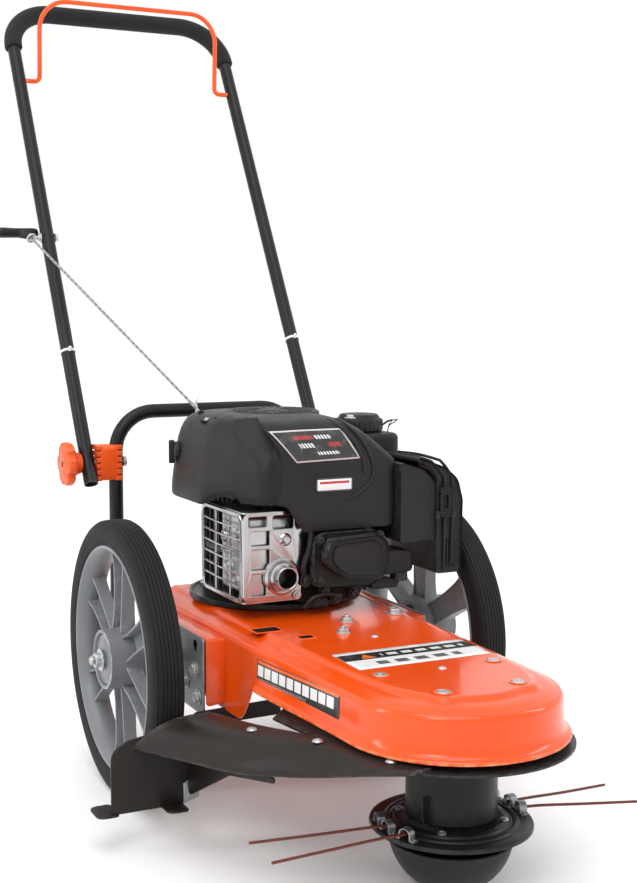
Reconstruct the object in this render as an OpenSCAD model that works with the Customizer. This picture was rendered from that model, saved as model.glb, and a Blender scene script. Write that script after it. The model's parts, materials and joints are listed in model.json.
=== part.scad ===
/* [Running gear] */
// Outer radius of each wheel
wheel_r = 190; // [188:0.5:191]
// Distance from the trimmer spindle back to the wheel axle
axle_y = 457; // [455:0.5:460]
// Distance from the mid-plane to each tyre's inner face
tyre_in = 220.5; // [220:0.5:224]
// Width of each tyre
tyre_w = 44; // [40:1:46]
// Radius of the wheel axle
axle_r = 6.35; // [6:0.05:6.5]

/* [Deck] */
// Height of the deck's raised top panel
deck_top = 251; // [249:0.5:252]
// Thickness of the pressed deck steel
deck_t = 2.5; // [2:0.1:3]
// Plan radius of the deck's nose
nose_r = 125; // [122:1:127]
// Half width of the deck at the engine
deck_half = 142; // [140:1:143]
// Radius of the skirt plate around the spindle
skirt_r = 140; // [138:1:143]
// Height of the skirt plate's underside
skirt_z = 178; // [177:0.5:179]

/* [Handle] */
// Distance from the mid-plane to each handle tube
handle_x = 202; // [202:0.5:204]
// Radius of the handle and frame tubes
tube_r = 11.1; // [10.9:0.1:11.1]
// Length of the handle from its pivot to the middle of the crossbar
handle_len = 887; // [880:1:900]
// Distance from the mid-plane to each leg of the lower frame
frame_x = 156; // [155.5:0.1:156.5]
// How far the released bail stands ahead of the handle
bail_angle = 33; // [31:1:35]

/* [Trimmer head] */
// Radius of the string plate
plate_r = 95; // [92:1:98]
// Radius of the ball that forms the ground dome
dome_ball_r = 73; // [72:0.5:75]
// Radius of each trimmer line
line_r = 1.7; // [1.2:0.1:2]

/* [Hidden] */
$fn = 64;
fit = 0.05;
gap = 0.3;
axle_z = wheel_r;

// Handle and lower frame
pivot_y = axle_y + 281;
pivot_z = 427.4;
handle_lean = 30;
tube_wall = 1.5;
handle_tail = 36;
handle_bend_r = 78;
frame_bar_z = 505;
frame_bend_r = 62;
frame_foot_z = 163;
frame_front_y = 365;
clamp_bolt_r = 4;
foam_r = 15.5;
bail_at = 734;
bail_r = 4;
bail_x = 166;
bail_len = 140;
bail_bend_r = 50;
bail_foot_r = 10;
guide_at = 410.6;

// Deck heights and fasteners
deck_edge = 240;
lip_z = 190;
low_wall_z = 137;
low_wall_y = 250;
deck_end = 640;
skirt_t = 2.5;
cap_bolts = [[-77, 32], [77, 32], [-49, -58], [49, -58]];
bracket_in = 168;
bracket_t = 3;

// Engine places
engine_y = axle_y + 35;
plate_top = deck_top + 5;
// Radius of the engine plate's bolt circle
plate_bolts = 107;
crank_r = 12.7;
head_x = 30;
shroud_right = 112;
facet_way = [-0.506, -0.610, 0.610];
latch_at = [183, 312, 381];

// Belt drive
pulley_z = 203;
pulley_h = 22;
drive_r = 32;
driven_r = 40;
belt_half = 4;
idler_r = 20;
idler_at = [60.7, 240];
idler_pivot = [95, 300];
idler_pin_r = 5;

// Trimmer head heights
string_z = 75;
string_t = 6;
housing_r = 53;
housing_z = 88;
spindle_r = 10;
ball_z = 70.3;
dome_rim_z = 58;

// Starter rope, from the recoil exit to the eye on the handle
rope_exit = [-96, 531, 517.5];
rope_eye = [-229, 944, 782];
rope_r = 1.9;
rope_dir = (rope_eye - rope_exit) / norm(rope_eye - rope_exit);

// Points of an arc
function arc(c, r, a0, a1, n) =
  [for (i = [0:n]) let (a = a0 + (a1 - a0) * i / n) c + r * [cos(a), sin(a)]];

// Rounded rectangle from corner a to corner b
function round_rect(a, b, r) = concat(
  arc([b.x - r, b.y - r], r, 0, 90, 6), arc([a.x + r, b.y - r], r, 90, 180, 6),
  arc([a.x + r, a.y + r], r, 180, 270, 6), arc([b.x - r, a.y + r], r, 270, 360, 6));

// Plan outline of the deck, moved inwards by d
function deck_outline(d) = concat(
  arc([0, 0], nose_r - d, 180, 360, 36),
  [[deck_half - d, low_wall_y]],
  arc([deck_half - 30, deck_end - 30], 30 - min(d, 24), 0, 90, 6),
  arc([30 - deck_half, deck_end - 30], 30 - min(d, 24), 90, 180, 6),
  [[d - deck_half, low_wall_y]]);

// Outline around the two belt pulleys
function belt_outline(d) = concat(
  arc([0, 0], driven_r + d, 180, 360, 40), arc([0, engine_y], drive_r + d, 0, 180, 40));

module mirrored() {
  children();
  mirror([1, 0, 0]) children();
}
module along_x(x0, x1, r, y = 0, z = 0) {
  translate([min(x0, x1), y, z]) rotate([0, 90, 0]) cylinder(r = r, h = abs(x1 - x0));
}
module block(a, b) {
  translate(a) cube(b - a);
}
module on_handle() {
  translate([0, pivot_y, pivot_z]) rotate([-handle_lean, 0, 0]) children();
}
module along(v) {
  rotate([0, acos(v.z / norm(v)), atan2(v.y, v.x)]) children();
}
// Quarter bend in the XZ plane that turns from up to inwards
module quarter_bend(r_bend, r_out, r_in) {
  rotate([90, 0, 0]) rotate_extrude(angle = 90) translate([r_bend, 0])
    difference() {
      circle(r = r_out);
      if (r_in > 0) circle(r = r_in);
    }
}
module pipe(r_out, r_in, h) {
  difference() {
    cylinder(r = r_out, h = h);
    if (r_in > 0) translate([0, 0, -1]) cylinder(r = r_in, h = h + 2);
  }
}
// Thin flat sheet stretched over a few corner points
module sheet(corners, t) {
  hull() for (c = corners) translate(c) cylinder(r = t / 2, h = t, center = true, $fn = 8);
}
// Tube swept along a list of points
module swept(points, r, sides) {
  n = len(points);
  dirs = [for (i = [0:n - 1]) let (d = points[min(i + 1, n - 1)] - points[max(i - 1, 0)]) d / norm(d)];
  rings = [for (i = [0:n - 1])
    let (u = cross(dirs[i], [0, 0, 1]) / norm(cross(dirs[i], [0, 0, 1])), v = cross(dirs[i], u))
    for (k = [0:sides - 1]) points[i] + r * (cos(360 * k / sides) * u + sin(360 * k / sides) * v)];
  walls = [for (i = [0:n - 2]) for (k = [0:sides - 1])
    [i * sides + k, i * sides + (k + 1) % sides, (i + 1) * sides + (k + 1) % sides, (i + 1) * sides + k]];
  ends = [[for (k = [0:sides - 1]) sides - 1 - k], [for (k = [0:sides - 1]) (n - 1) * sides + k]];
  polyhedron(rings, concat(walls, ends));
}

// ---- Deck ----
module deck_wall(z0, z1) {
  translate([0, 0, z0]) linear_extrude(z1 - z0) difference() {
    polygon(deck_outline(0));
    polygon(deck_outline(deck_t));
  }
}
module deck_shell() color("orangered") difference() {
  union() {
    deck_wall(lip_z, deck_edge);
    intersection() {
      deck_wall(low_wall_z, lip_z + 1);
      block([-200, low_wall_y, 100], [200, 700, 200]);
    }
    translate([0, 0, deck_edge - deck_t]) linear_extrude(deck_t) difference() {
      polygon(deck_outline(1));
      polygon(deck_outline(24));
    }
    translate([0, 0, deck_edge - deck_t]) linear_extrude(deck_top - deck_edge + deck_t - 0.5) difference() {
      polygon(deck_outline(22));
      polygon(deck_outline(24.5));
    }
    translate([0, 0, deck_top - deck_t]) linear_extrude(deck_t) polygon(deck_outline(22));
    intersection() {
      translate([0, 0, lip_z]) linear_extrude(deck_t) difference() {
        polygon(deck_outline(-8));
        polygon(deck_outline(1));
      }
      block([-200, -200, 100], [200, low_wall_y, 200]);
    }
  }
  for (p = cap_bolts) translate([p.x, p.y, deck_top - 10]) cylinder(r = 4.3, h = 20);
  translate([0, engine_y, deck_top - 10]) cylinder(r = 26, h = 20);
  for (a = [45:90:315])
    translate([plate_bolts * cos(a), engine_y + plate_bolts * sin(a), deck_top - 10])
      cylinder(r = 4.3, h = 20);
  translate([idler_pivot.x, idler_pivot.y, deck_top - 10]) cylinder(r = idler_pin_r + 0.3, h = 20);
  block([-116, 280, 245], [-92, 292, 260]);
  block([-80, 226, 245], [-66, 234, 260]);
  along_x(-200, 200, axle_r + 0.4, axle_y, axle_z);
}
module skirt_plate() color("dimgray") difference() {
  union() {
    translate([0, 0, skirt_z]) cylinder(r = skirt_r, h = skirt_t, $fn = 96);
    translate([0, 0, skirt_z]) linear_extrude(skirt_t)
      polygon([[60, -60], [-100, -80], [-145, 38], [-160, 145], [-118, 190], [118, 190], [136, 20]]);
  }
  for (p = cap_bolts) translate([p.x, p.y, skirt_z - 1]) cylinder(r = 4.3, h = 10);
  translate([0, 0, skirt_z - 1]) cylinder(r = 24, h = 10);
  translate([0, 0, skirt_z - 1]) linear_extrude(5)
    polygon([[-99, -100], [-99, -82], [-140, 41], [-155, 78], [-260, 78], [-260, -100]]);
  rivets(fit);
}
// Rivets of the flap, grown by d
module rivets(d) for (p = [[-108, -50, 182.6], [-138, 30, 182.6], [-175, 135, 176]]) translate(p) {
  cylinder(r = 5.5 + d, h = 3, $fn = 32);
  translate([0, 0, -8]) cylinder(r = 2.5 + d, h = 9, $fn = 32);
}
module debris_deflector() color([0.16, 0.14, 0.13]) difference() {
  flap();
  rivets(fit);
}
module flap() {
  top = skirt_z + skirt_t + 1.2;
  tip = [-106, -82, top];
  front_in = [-147, 40, top];
  back_in = [-195, 262, 163];
  edge_mid = [-200, 36, 148];
  back_out = [-303, 257, 134];
  sheet([tip, front_in, edge_mid], 2);
  sheet([front_in, back_in, edge_mid], 2);
  sheet([back_in, back_out, edge_mid], 2);
  sheet([[-98, -76, top], [-84, -60, top], [-122, 40, top], front_in], 2);
  sheet([[-325, 257, 48], [-327, 257, 112], [-320, 257, 128], back_out, [-228, 257, 151],
    [-228, 257, 56]], 2);
  sheet([[-229, 255, 62], [-229, 255, 150], [-202, 42, 147]], 2);
  for (p = [[-333, 46], [-247, 52.5]]) translate([p.x, 254, p.y]) cylinder(r = 13, h = 3, $fn = 32);
}
module deck_fasteners() color("silver") {
  rivets(0);
  for (p = cap_bolts) translate([p.x, p.y, 0]) {
    translate([0, 0, deck_top]) cylinder(r = 8, h = 5);
    translate([0, 0, skirt_z - 6]) cylinder(r = 4, h = deck_top - skirt_z + 7);
    translate([0, 0, skirt_z - 6]) cylinder(r = 7.5, h = 6, $fn = 6);
  }
  for (a = [45:90:315]) translate([plate_bolts * cos(a), engine_y + plate_bolts * sin(a), 0]) {
    translate([0, 0, plate_top]) cylinder(r = 7.5, h = 5, $fn = 6);
    translate([0, 0, deck_top - 14]) cylinder(r = 4, h = 20);
    translate([0, 0, deck_top - 14]) cylinder(r = 7.5, h = 6, $fn = 6);
  }
  translate([idler_pivot.x, idler_pivot.y, 0]) {
    translate([0, 0, deck_top]) cylinder(r = 9, h = 6, $fn = 6);
    translate([0, 0, 190]) cylinder(r = idler_pin_r, h = deck_top - 189);
    translate([0, 0, 188]) cylinder(r = 9, h = 6, $fn = 6);
  }
}
module side_brackets() color("lightgray") mirrored() difference() {
  union() {
    block([bracket_in, 340, 141], [bracket_in + bracket_t, 575, 241]);
    block([deck_half + 0.1, 340, 238], [bracket_in + 1, 575, 241]);
  }
  along_x(160, 180, axle_r + 0.1, axle_y, axle_z);
  for (y = [400, 545]) along_x(160, 180, 4.2, y, frame_foot_z);
}

// ---- Running gear ----
module wheel_axle() color("silver") along_x(-289, 289, axle_r, axle_y, axle_z);
module axle_nuts() color("silver") mirrored() difference() {
  union() {
    along_x(273.6, 276, 14, axle_y, axle_z);
    translate([275.9, axle_y, axle_z]) rotate([0, 90, 0]) cylinder(r = 11, h = 9.5, $fn = 6);
  }
  along_x(270, 290, axle_r + 0.02, axle_y, axle_z);
}
module hub_bushes() color("gray") mirrored() difference() {
  along_x(bracket_in + bracket_t + 0.1, 273.5, 9, axle_y, axle_z);
  along_x(160, 280, axle_r + 0.02, axle_y, axle_z);
}
module tyre() {
  w = tyre_w / 2;
  translate([tyre_in + w, axle_y, axle_z]) rotate([0, 90, 0]) rotate_extrude($fn = 96) polygon(concat(
    [[156, -w + 5], [157, w - 5], [161, w - 1]],
    [[170, w], [180, w - 1]], arc([wheel_r - 8, w - 9], 8, 60, 0, 4),
    arc([wheel_r - 8, 9 - w], 8, 0, -60, 4), [[180, 1 - w], [170, -w], [161, 1 - w]]));
}
module on_wheel() {
  translate([tyre_in + tyre_w / 2, axle_y, axle_z]) rotate([0, 90, 0]) children();
}
module rim() {
  w = tyre_w / 2;
  on_wheel() rotate_extrude($fn = 96) polygon([[155.8, -w + 4], [155.8, w - 4], [150, w - 2],
    [138, w - 12], [138, 12 - w], [150, 2 - w]]);
}
// Hub with six spokes that reach the rim
module spokes() on_wheel() difference() {
  intersection() {
    union() {
      translate([0, 0, -30]) cylinder(r = 40, h = 60);
      for (a = [0:60:300]) rotate([0, 0, a]) translate([30, -14, -9]) cube([112, 28, 14]);
    }
    translate([0, 0, -40]) cylinder(r = 138, h = 80, $fn = 96);
  }
  translate([0, 0, -31]) pipe(36, 16, 20);
  translate([0, 0, 26]) pipe(36, 16, 10);
  translate([0, 0, -40]) cylinder(r = 9 + fit, h = 80);
}
module tyre_left() color([0.1, 0.1, 0.1]) mirror([1, 0, 0]) tyre();
module tyre_right() color([0.1, 0.1, 0.1]) tyre();
module rim_left() color("silver") mirror([1, 0, 0]) rim();
module rim_right() color("silver") rim();
module spokes_left() color("silver") mirror([1, 0, 0]) spokes();
module spokes_right() color("silver") spokes();

// ---- Handle frame ----
module lower_frame_side(r) {
  arch_x = frame_x - frame_bend_r;
  translate([frame_x, pivot_y, frame_foot_z + frame_bend_r])
    cylinder(r = r, h = frame_bar_z - frame_foot_z - 2 * frame_bend_r);
  translate([arch_x, pivot_y, frame_bar_z - frame_bend_r]) quarter_bend(frame_bend_r, r, 0);
  translate([frame_x, pivot_y - frame_bend_r, frame_foot_z + frame_bend_r])
    rotate([0, 90, 0]) rotate_extrude(angle = 90) translate([frame_bend_r, 0]) circle(r = r);
  translate([frame_x, pivot_y - frame_bend_r, frame_foot_z]) rotate([90, 0, 0])
    cylinder(r = r, h = pivot_y - frame_bend_r - frame_front_y);
}
module lower_frame() color([0.12, 0.12, 0.12]) difference() {
  union() {
    mirrored() lower_frame_side(tube_r);
    along_x(frame_bend_r - frame_x, frame_x - frame_bend_r, tube_r, pivot_y, frame_bar_z);
  }
  union() {
    mirrored() lower_frame_side(tube_r - tube_wall);
    along_x(frame_bend_r - frame_x, frame_x - frame_bend_r, tube_r - tube_wall, pivot_y, frame_bar_z);
  }
  mirrored() {
    translate([frame_x, frame_front_y + 1, frame_foot_z]) rotate([90, 0, 0])
      cylinder(r = tube_r - tube_wall, h = 5);
    along_x(130, 180, clamp_bolt_r + 0.1, pivot_y, pivot_z);
    for (y = [400, 545]) along_x(130, 180, 4.1, y, frame_foot_z);
  }
}
module frame_bolts() color("silver") mirrored() for (y = [400, 545]) {
  along_x(144.5, 174, 4, y, frame_foot_z);
  along_x(bracket_in + bracket_t + 0.1, 176, 8, y, frame_foot_z);
}
module clamp_bolts() color("silver") mirrored() {
  along_x(140, 236, clamp_bolt_r, pivot_y, pivot_z);
  along_x(140, 144.5, 8, pivot_y, pivot_z);
}
module height_adjusters() color("orangered") mirrored() difference() {
  translate([151, pivot_y, pivot_z]) rotate([90, 0, 90]) linear_extrude(handle_x - tube_r - gap - 151)
    polygon(round_rect([-16, -28], [16, 28], 11));
  translate([frame_x, pivot_y, pivot_z - 40]) cylinder(r = tube_r + fit, h = 80);
  along_x(140, 200, clamp_bolt_r + 0.1, pivot_y, pivot_z);
  for (k = [-2.5:1:2.5]) {
    block([184.5, pivot_y - 20, pivot_z + 8 * k - 1.3], [195, pivot_y + 20, pivot_z + 8 * k + 1.3]);
    block([145, pivot_y - 20, pivot_z + 8 * k - 1.3], [154, pivot_y + 20, pivot_z + 8 * k + 1.3]);
  }
}
module handle_side(r) {
  translate([handle_x, 0, -handle_tail]) cylinder(r = r, h = handle_len - handle_bend_r + handle_tail);
  translate([handle_x - handle_bend_r, 0, handle_len - handle_bend_r]) quarter_bend(handle_bend_r, r, 0);
}
module handle_tube() color([0.12, 0.12, 0.12]) on_handle() difference() {
  union() {
    mirrored() handle_side(tube_r);
    along_x(handle_bend_r - handle_x, handle_x - handle_bend_r, tube_r, 0, handle_len);
  }
  union() {
    mirrored() handle_side(tube_r - tube_wall);
    along_x(handle_bend_r - handle_x, handle_x - handle_bend_r, tube_r - tube_wall, 0, handle_len);
  }
  mirrored() {
    translate([handle_x, 0, -handle_tail - 1]) cylinder(r = tube_r - tube_wall, h = 5);
    along_x(180, 220, clamp_bolt_r + fit, 0, 0);
    along_x(180, handle_x - 3, bail_r + fit, 0, bail_at);
  }
  along_x(-215, -180, 3.02, 0, guide_at);
}
module foam_grip() color([0.07, 0.07, 0.07]) on_handle() {
  mirrored() {
    translate([handle_x, 0, 803]) pipe(foam_r, tube_r + fit, handle_len - handle_bend_r - 803);
    translate([handle_x - handle_bend_r, 0, handle_len - handle_bend_r])
      quarter_bend(handle_bend_r, foam_r, tube_r + fit);
  }
  translate([handle_bend_r - handle_x, 0, handle_len]) rotate([0, 90, 0])
    pipe(foam_r, tube_r + fit, 2 * (handle_x - handle_bend_r));
}
module rope_guide() color("silver") {
  on_handle() {
    along_x(-221, -184, 3, 0, guide_at);
    along_x(-190.5, -185, 6, 0, guide_at);
    along_x(-219, -213.3, 6, 0, guide_at);
  }
  translate(rope_eye) along(rope_dir) translate([0, 0, -2]) pipe(9, 5, 4);
}
module tie_ring(x, s) {
  translate([x, 0, s]) {
    pipe(tube_r + 1.4, tube_r + fit, 4.5);
    translate([-3, -tube_r - 22, 1]) cube([6, 21, 1.6]);
  }
}
module cable_ties() color("white") on_handle() {
  tie_ring(-handle_x, 193);
  tie_ring(handle_x, 212);
}
module bail_side() {
  along_x(bail_x + bail_foot_r, handle_x - 6.5, bail_r);
  translate([bail_x + bail_foot_r, 0, bail_foot_r]) rotate([0, 180, 0])
    quarter_bend(bail_foot_r, bail_r, 0);
  translate([bail_x, 0, bail_foot_r]) cylinder(r = bail_r, h = bail_len - bail_foot_r - bail_bend_r);
  translate([bail_x - bail_bend_r, 0, bail_len - bail_bend_r]) quarter_bend(bail_bend_r, bail_r, 0);
}
module bail() color("orangered") on_handle() translate([0, 0, bail_at]) rotate([bail_angle, 0, 0]) {
  mirrored() bail_side();
  along_x(bail_bend_r - bail_x, bail_x - bail_bend_r, bail_r, 0, bail_len);
}
module starter_rope() color("lightgray")
  swept([for (k = [0:20]) rope_exit + (rope_eye - 3 * rope_dir - rope_exit) * k / 20], rope_r, 8);
module starter_grip() color([0.1, 0.1, 0.1]) difference() {
  translate([-281, 962, 791]) rotate([90, 0, 90]) linear_extrude(66)
    polygon(round_rect([-10, -10], [10, 10], 7));
  translate(rope_eye) along(rope_dir) cylinder(r = 3, h = 40);
}
module knob() {
  outer = handle_x + tube_r + gap;
  translate([0, pivot_y, pivot_z]) difference() {
    union() {
      translate([outer, 0, 0]) rotate([0, 90, 0]) cylinder(r = 12, h = 15);
      translate([outer + 14, 0, 0]) rotate([0, 90, 0]) difference() {
        cylinder(r = 34, h = 14);
        for (a = [0:51.43:359]) rotate([0, 0, a]) translate([40, 0, -1]) cylinder(r = 10, h = 20, $fn = 32);
      }
    }
    along_x(outer - 1, 237, clamp_bolt_r + fit);
  }
}
module knob_left() color("orangered") mirror([1, 0, 0]) knob();
module knob_right() color("orangered") knob();

// ---- Engine ----
module engine_plate() color([0.15, 0.15, 0.15]) translate([0, engine_y, deck_top]) difference() {
  union() {
    cylinder(r = 121, h = 5, $fn = 96);
    pipe(121, 116, 9);
  }
  translate([0, 0, -1]) cylinder(r = 26, h = 20);
  for (a = [45:90:315]) rotate([0, 0, a]) translate([plate_bolts, 0, -1])
    cylinder(r = 4.3, h = 20);
}
module crankcase() color([0.2, 0.2, 0.2]) difference() {
  translate([0, 0, plate_top]) linear_extrude(149) polygon(round_rect([-75, 445], [75, 565], 18));
  translate([0, 0, plate_top + 8]) linear_extrude(133) polygon(round_rect([-69, 451], [69, 559], 14));
  translate([0, engine_y, plate_top - 1]) cylinder(r = crank_r + fit, h = 160);
}
module cylinder_block() color([0.3, 0.3, 0.3]) {
  translate([head_x, 444.9, 325]) rotate([90, 0, 0]) cylinder(r = 34, h = 100);
  for (k = [0:6]) block([-20, 353 + 13 * k, 285], [80, 356 + 13 * k, 365]);
  translate([0, 345, 0]) rotate([90, 0, 0]) linear_extrude(15) polygon(round_rect([-14, 290], [86, 362], 12));
}
module valve_cover() color([0.18, 0.18, 0.18]) {
  translate([0, 329.9, 0]) rotate([90, 0, 0]) linear_extrude(8)
    polygon(round_rect([-14, 294], [90, 363], 16));
  translate([0, 322, 0]) rotate([90, 0, 0]) linear_extrude(17) polygon(round_rect([-8, 300], [84, 357], 20));
}
module spark_plug() color("white") translate([4, 337, 0]) {
  translate([0, 0, 268]) cylinder(r = 4, h = 21.9);
  translate([0, 0, 262]) cylinder(r = 7, h = 12);
}
module muffler() color("silver") difference() {
  union() {
    translate([0, 0, 284]) linear_extrude(104) polygon(round_rect([-104, 350], [-34, 440], 12));
    translate([-56, 352, 308]) rotate([90, 0, 0]) cylinder(r = 16, h = 32);
    along_x(-36, -20.3, 11, 372, 330);
  }
  translate([0, 0, 287]) linear_extrude(98) polygon(round_rect([-101, 353], [-37, 437], 9));
  translate([-56, 360, 308]) rotate([90, 0, 0]) cylinder(r = 13.5, h = 50);
}
module muffler_guard() color("gainsboro") difference() {
  union() {
    block([-112, 342, 274], [-109, 482, 398]);
    block([-112, 342, 274], [-24, 345, 398]);
    block([-112, 342, 395], [-24, 440, 398]);
    block([-112, 342, 274], [-24, 440, 277]);
  }
  for (i = [0:3], j = [0:4])
    block([-120, 352 + 33 * i, 284 + 22 * j], [-105, 379 + 33 * i, 300 + 22 * j]);
  for (j = [0:3]) block([-103, 335, 284 + 27 * j], [-78, 350, 303 + 27 * j]);
  block([-70, 335, 350], [-36, 350, 388]);
  translate([-56, 350, 308]) rotate([90, 0, 0]) cylinder(r = 19, h = 20);
}
module filter_base() color([0.16, 0.16, 0.16]) difference() {
  block([shroud_right + 0.4, 317, 345], [168, 430, 452]);
  block([shroud_right + 4, 320, 348], [169, 427, 449]);
}
module filter_element() color("wheat") block([150, 323, 350], [204, 424, 443]);
module filter_cover() color([0.14, 0.14, 0.14]) difference() {
  union() {
    translate([168.1, 0, 0]) rotate([90, 0, 90]) linear_extrude(43.9)
      polygon(round_rect([317, 297], [430, 452], 12));
    for (x = [latch_at.x - 13, latch_at.x + 9.3])
      translate([x, latch_at.y - 4, latch_at.z - 5]) cube([3.7, 10, 10]);
  }
  translate([167, 0, 0]) rotate([90, 0, 90]) linear_extrude(42)
    polygon(round_rect([320, 300], [427, 449], 10));
  along_x(160, 200, 2.55, latch_at.y, latch_at.z);
}
module carburettor() color("gray") {
  block([80.3, 392, 330], [111.8, 436, 376]);
  translate([96, 414, 376]) cylinder(r = 14, h = 12);
}
module fuel_tank() color([0.13, 0.13, 0.13]) difference() {
  union() {
    translate([0, 0, 408]) linear_extrude(76) polygon(round_rect([shroud_right + 0.5, 436], [186, 560], 18));
    translate([146, 497, 483]) cylinder(r = 24, h = 9);
  }
  translate([0, 0, 411]) linear_extrude(70) polygon(round_rect([shroud_right + 4, 440], [182, 556], 15));
  translate([146, 497, 470]) cylinder(r = 20, h = 30);
}
module fuel_cap() color([0.1, 0.1, 0.1]) translate([146, 497, 0]) difference() {
  translate([0, 0, 485]) cylinder(r = 36, h = 25);
  translate([0, 0, 480]) cylinder(r = 24.5, h = 13);
}
module oil_filler() color([0.12, 0.12, 0.12]) difference() {
  union() {
    translate([60, 632, 300]) cylinder(r = 10, h = 100);
    translate([60, 632, 312]) rotate([90, 0, 0]) cylinder(r = 9, h = 67);
  }
  translate([60, 632, 303]) cylinder(r = 7, h = 100);
}
module oil_dipstick() color("gold") translate([60, 632, 0]) {
  translate([0, 0, 400.4]) cylinder(r = 15, h = 12);
  translate([0, 0, 315]) cylinder(r = 2.5, h = 86);
}
// Plan outline of the blower shroud, moved inwards by d, its left side leaning in by s
function shroud_outline(d, s) = concat(
  arc([82, 357], 30 - d, 270, 360, 5), arc([82, 582], 30 - d, 0, 90, 5),
  arc([s - 33, 512], 100 - d, 90, 180, 9), arc([s - 87, 442], 46 - d, 180, 235, 4), [[-82 + d, 346 + d], [-56 + d, 327 + d]]);
module shroud_slice(z, d, s) translate([0, 0, z - 1]) linear_extrude(1) polygon(shroud_outline(d, s));
// Space above the sloping facet left of the hood, moved inwards by d
module facet_space(d) intersection() {
  translate([-115, 408, 495] - d * facet_way) along(facet_way) translate([-200, -200, 0])
    cube([400, 400, 200]);
  translate([d, 620, 0]) rotate([90, 0, 0]) linear_extrude(400)
    polygon([[-200, 380], [-56, 380], [-56, 450], [-66, 480], [-84, 505], [-84, 540], [-200, 540]]);
}
module shroud_form(d) difference() {
  hull() {
    shroud_slice(412, d, 0);
    shroud_slice(470, d + 1, 9);
    shroud_slice(500, d + 8, 12);
    shroud_slice(515 - d, d + 20, 14);
  }
  facet_space(d);
}
// Places children on the fuel valve's axis, +Z outwards through the shroud's left wall
module valve_frame() translate([-25.6, 512, 460]) rotate([0, 0, 159]) rotate([0, 90, 0]) children();
module engine_shroud() color([0.13, 0.13, 0.13]) difference() {
  union() {
    difference() {
      shroud_form(0);
      translate([0, 0, -0.5]) shroud_form(3);
      translate([0, engine_y, 505]) cylinder(r = 66, h = 20);
    }
    block([-133, 443, 394], [-130, 512, 412]);
    block([-50, 327, 368], [90, 330, 412]);
    valve_frame() translate([0, 0, 97]) cylinder(r = 14, h = 4.8);
  }
  valve_frame() translate([0, 0, 85]) cylinder(r = 6, h = 25);
}
module recoil_cover() color([0.15, 0.15, 0.15]) translate([0, engine_y, 0]) difference() {
  union() {
    translate([0, 0, 515.1]) cylinder(r = 72, h = 5);
    translate([0, 0, 500]) cylinder(r = 65, h = 16);
  }
  translate([0, 0, 499]) cylinder(r = 62, h = 15);
  for (a = [0:30:330]) rotate([0, 0, a]) block([24, -4, 510], [58, 4, 525]);
}
module fuel_valve_knob() color([0.1, 0.1, 0.1]) valve_frame() {
  translate([0, 0, 102.3]) cylinder(r = 15, h = 8);
  translate([0, 0, 90]) cylinder(r = 5.5, h = 13);
  translate([-17, -3.5, 110]) cube([34, 7, 8]);
}
module filter_latch() color([0.1, 0.1, 0.1]) {
  translate(latch_at) {
    translate([-9, -2.5, -2]) cube([18, 4, 40]);
    along_x(-12.5, 12.5, 2.5);
  }
}
module crankshaft() color("silver") translate([0, engine_y, pulley_z - 3]) cylinder(r = crank_r, h = 285);
module flywheel() color("gray") translate([0, engine_y, 425]) difference() {
  union() {
    cylinder(r = 85, h = 18);
    for (a = [0:30:330]) rotate([0, 0, a]) block([50, -1.5, 17.9], [82, 1.5, 34]);
    cylinder(r = 24, h = 40);
  }
  translate([0, 0, -1]) cylinder(r = crank_r + 0.02, h = 50);
}

// ---- Belt drive ----
module pulley(r, bore) difference() {
  union() {
    cylinder(r = r - belt_half - gap, h = pulley_h);
    cylinder(r = r + 6, h = 3);
    translate([0, 0, pulley_h - 3]) cylinder(r = r + 6, h = 3);
  }
  translate([0, 0, -1]) cylinder(r = bore, h = 40);
}
module drive_pulley() color("gray") translate([0, engine_y, pulley_z]) pulley(drive_r, crank_r + 0.02);
module driven_pulley() color("gray") translate([0, 0, pulley_z]) pulley(driven_r, spindle_r + 0.02);
module drive_belt() color([0.1, 0.1, 0.1]) translate([0, 0, pulley_z + 4.5]) linear_extrude(13) difference() {
  polygon(belt_outline(belt_half));
  polygon(belt_outline(-belt_half));
}
module idler_arm() color("gray") difference() {
  union() {
    hull() for (p = [idler_at, idler_pivot]) translate([p.x, p.y, 196]) cylinder(r = 11, h = 5, $fn = 32);
    translate([idler_at.x, idler_at.y, 200]) cylinder(r = idler_pin_r, h = 28);
    translate([idler_at.x, idler_at.y, 226]) cylinder(r = 9, h = 4);
  }
  translate([idler_pivot.x, idler_pivot.y, 190]) cylinder(r = idler_pin_r + fit, h = 20);
}
module idler_pulley() color("gray") translate([idler_at.x, idler_at.y, pulley_z]) difference() {
  cylinder(r = idler_r, h = pulley_h);
  translate([0, 0, -1]) cylinder(r = idler_pin_r + fit, h = 40);
}

// ---- Trimmer head ----
module spindle_housing() color([0.12, 0.12, 0.12]) difference() {
  translate([0, 0, housing_z]) cylinder(r = housing_r, h = skirt_z - housing_z - 0.1, $fn = 96);
  translate([0, 0, 104]) cylinder(r = housing_r - 3, h = 56);
  translate([0, 0, housing_z - 1]) cylinder(r = 21, h = 100);
  rotate([0, 0, 205]) block([housing_r - 8, -3, 92], [housing_r + 5, 3, 121]);
}
module spindle_bearings() color("silver") for (z = [90, 163]) translate([0, 0, z])
  pipe(20.98, spindle_r + 0.06, 13);
module spindle_shaft() color("silver") translate([0, 0, 16]) cylinder(r = spindle_r, h = 214);
module string_plate() color([0.12, 0.12, 0.12]) difference() {
  union() {
    translate([0, 0, string_z]) cylinder(r = plate_r, h = string_t, $fn = 96);
    translate([0, 0, string_z + string_t - 0.1]) pipe(76, 71, 2);
    translate([0, 0, string_z + string_t - 0.1]) cylinder(r = 66, h = 4.5);
    translate([0, 0, string_z - 8]) cylinder(r = 24, h = 9);
  }
  translate([0, 0, string_z - 10]) cylinder(r = spindle_r + 0.02, h = 30);
}
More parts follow.
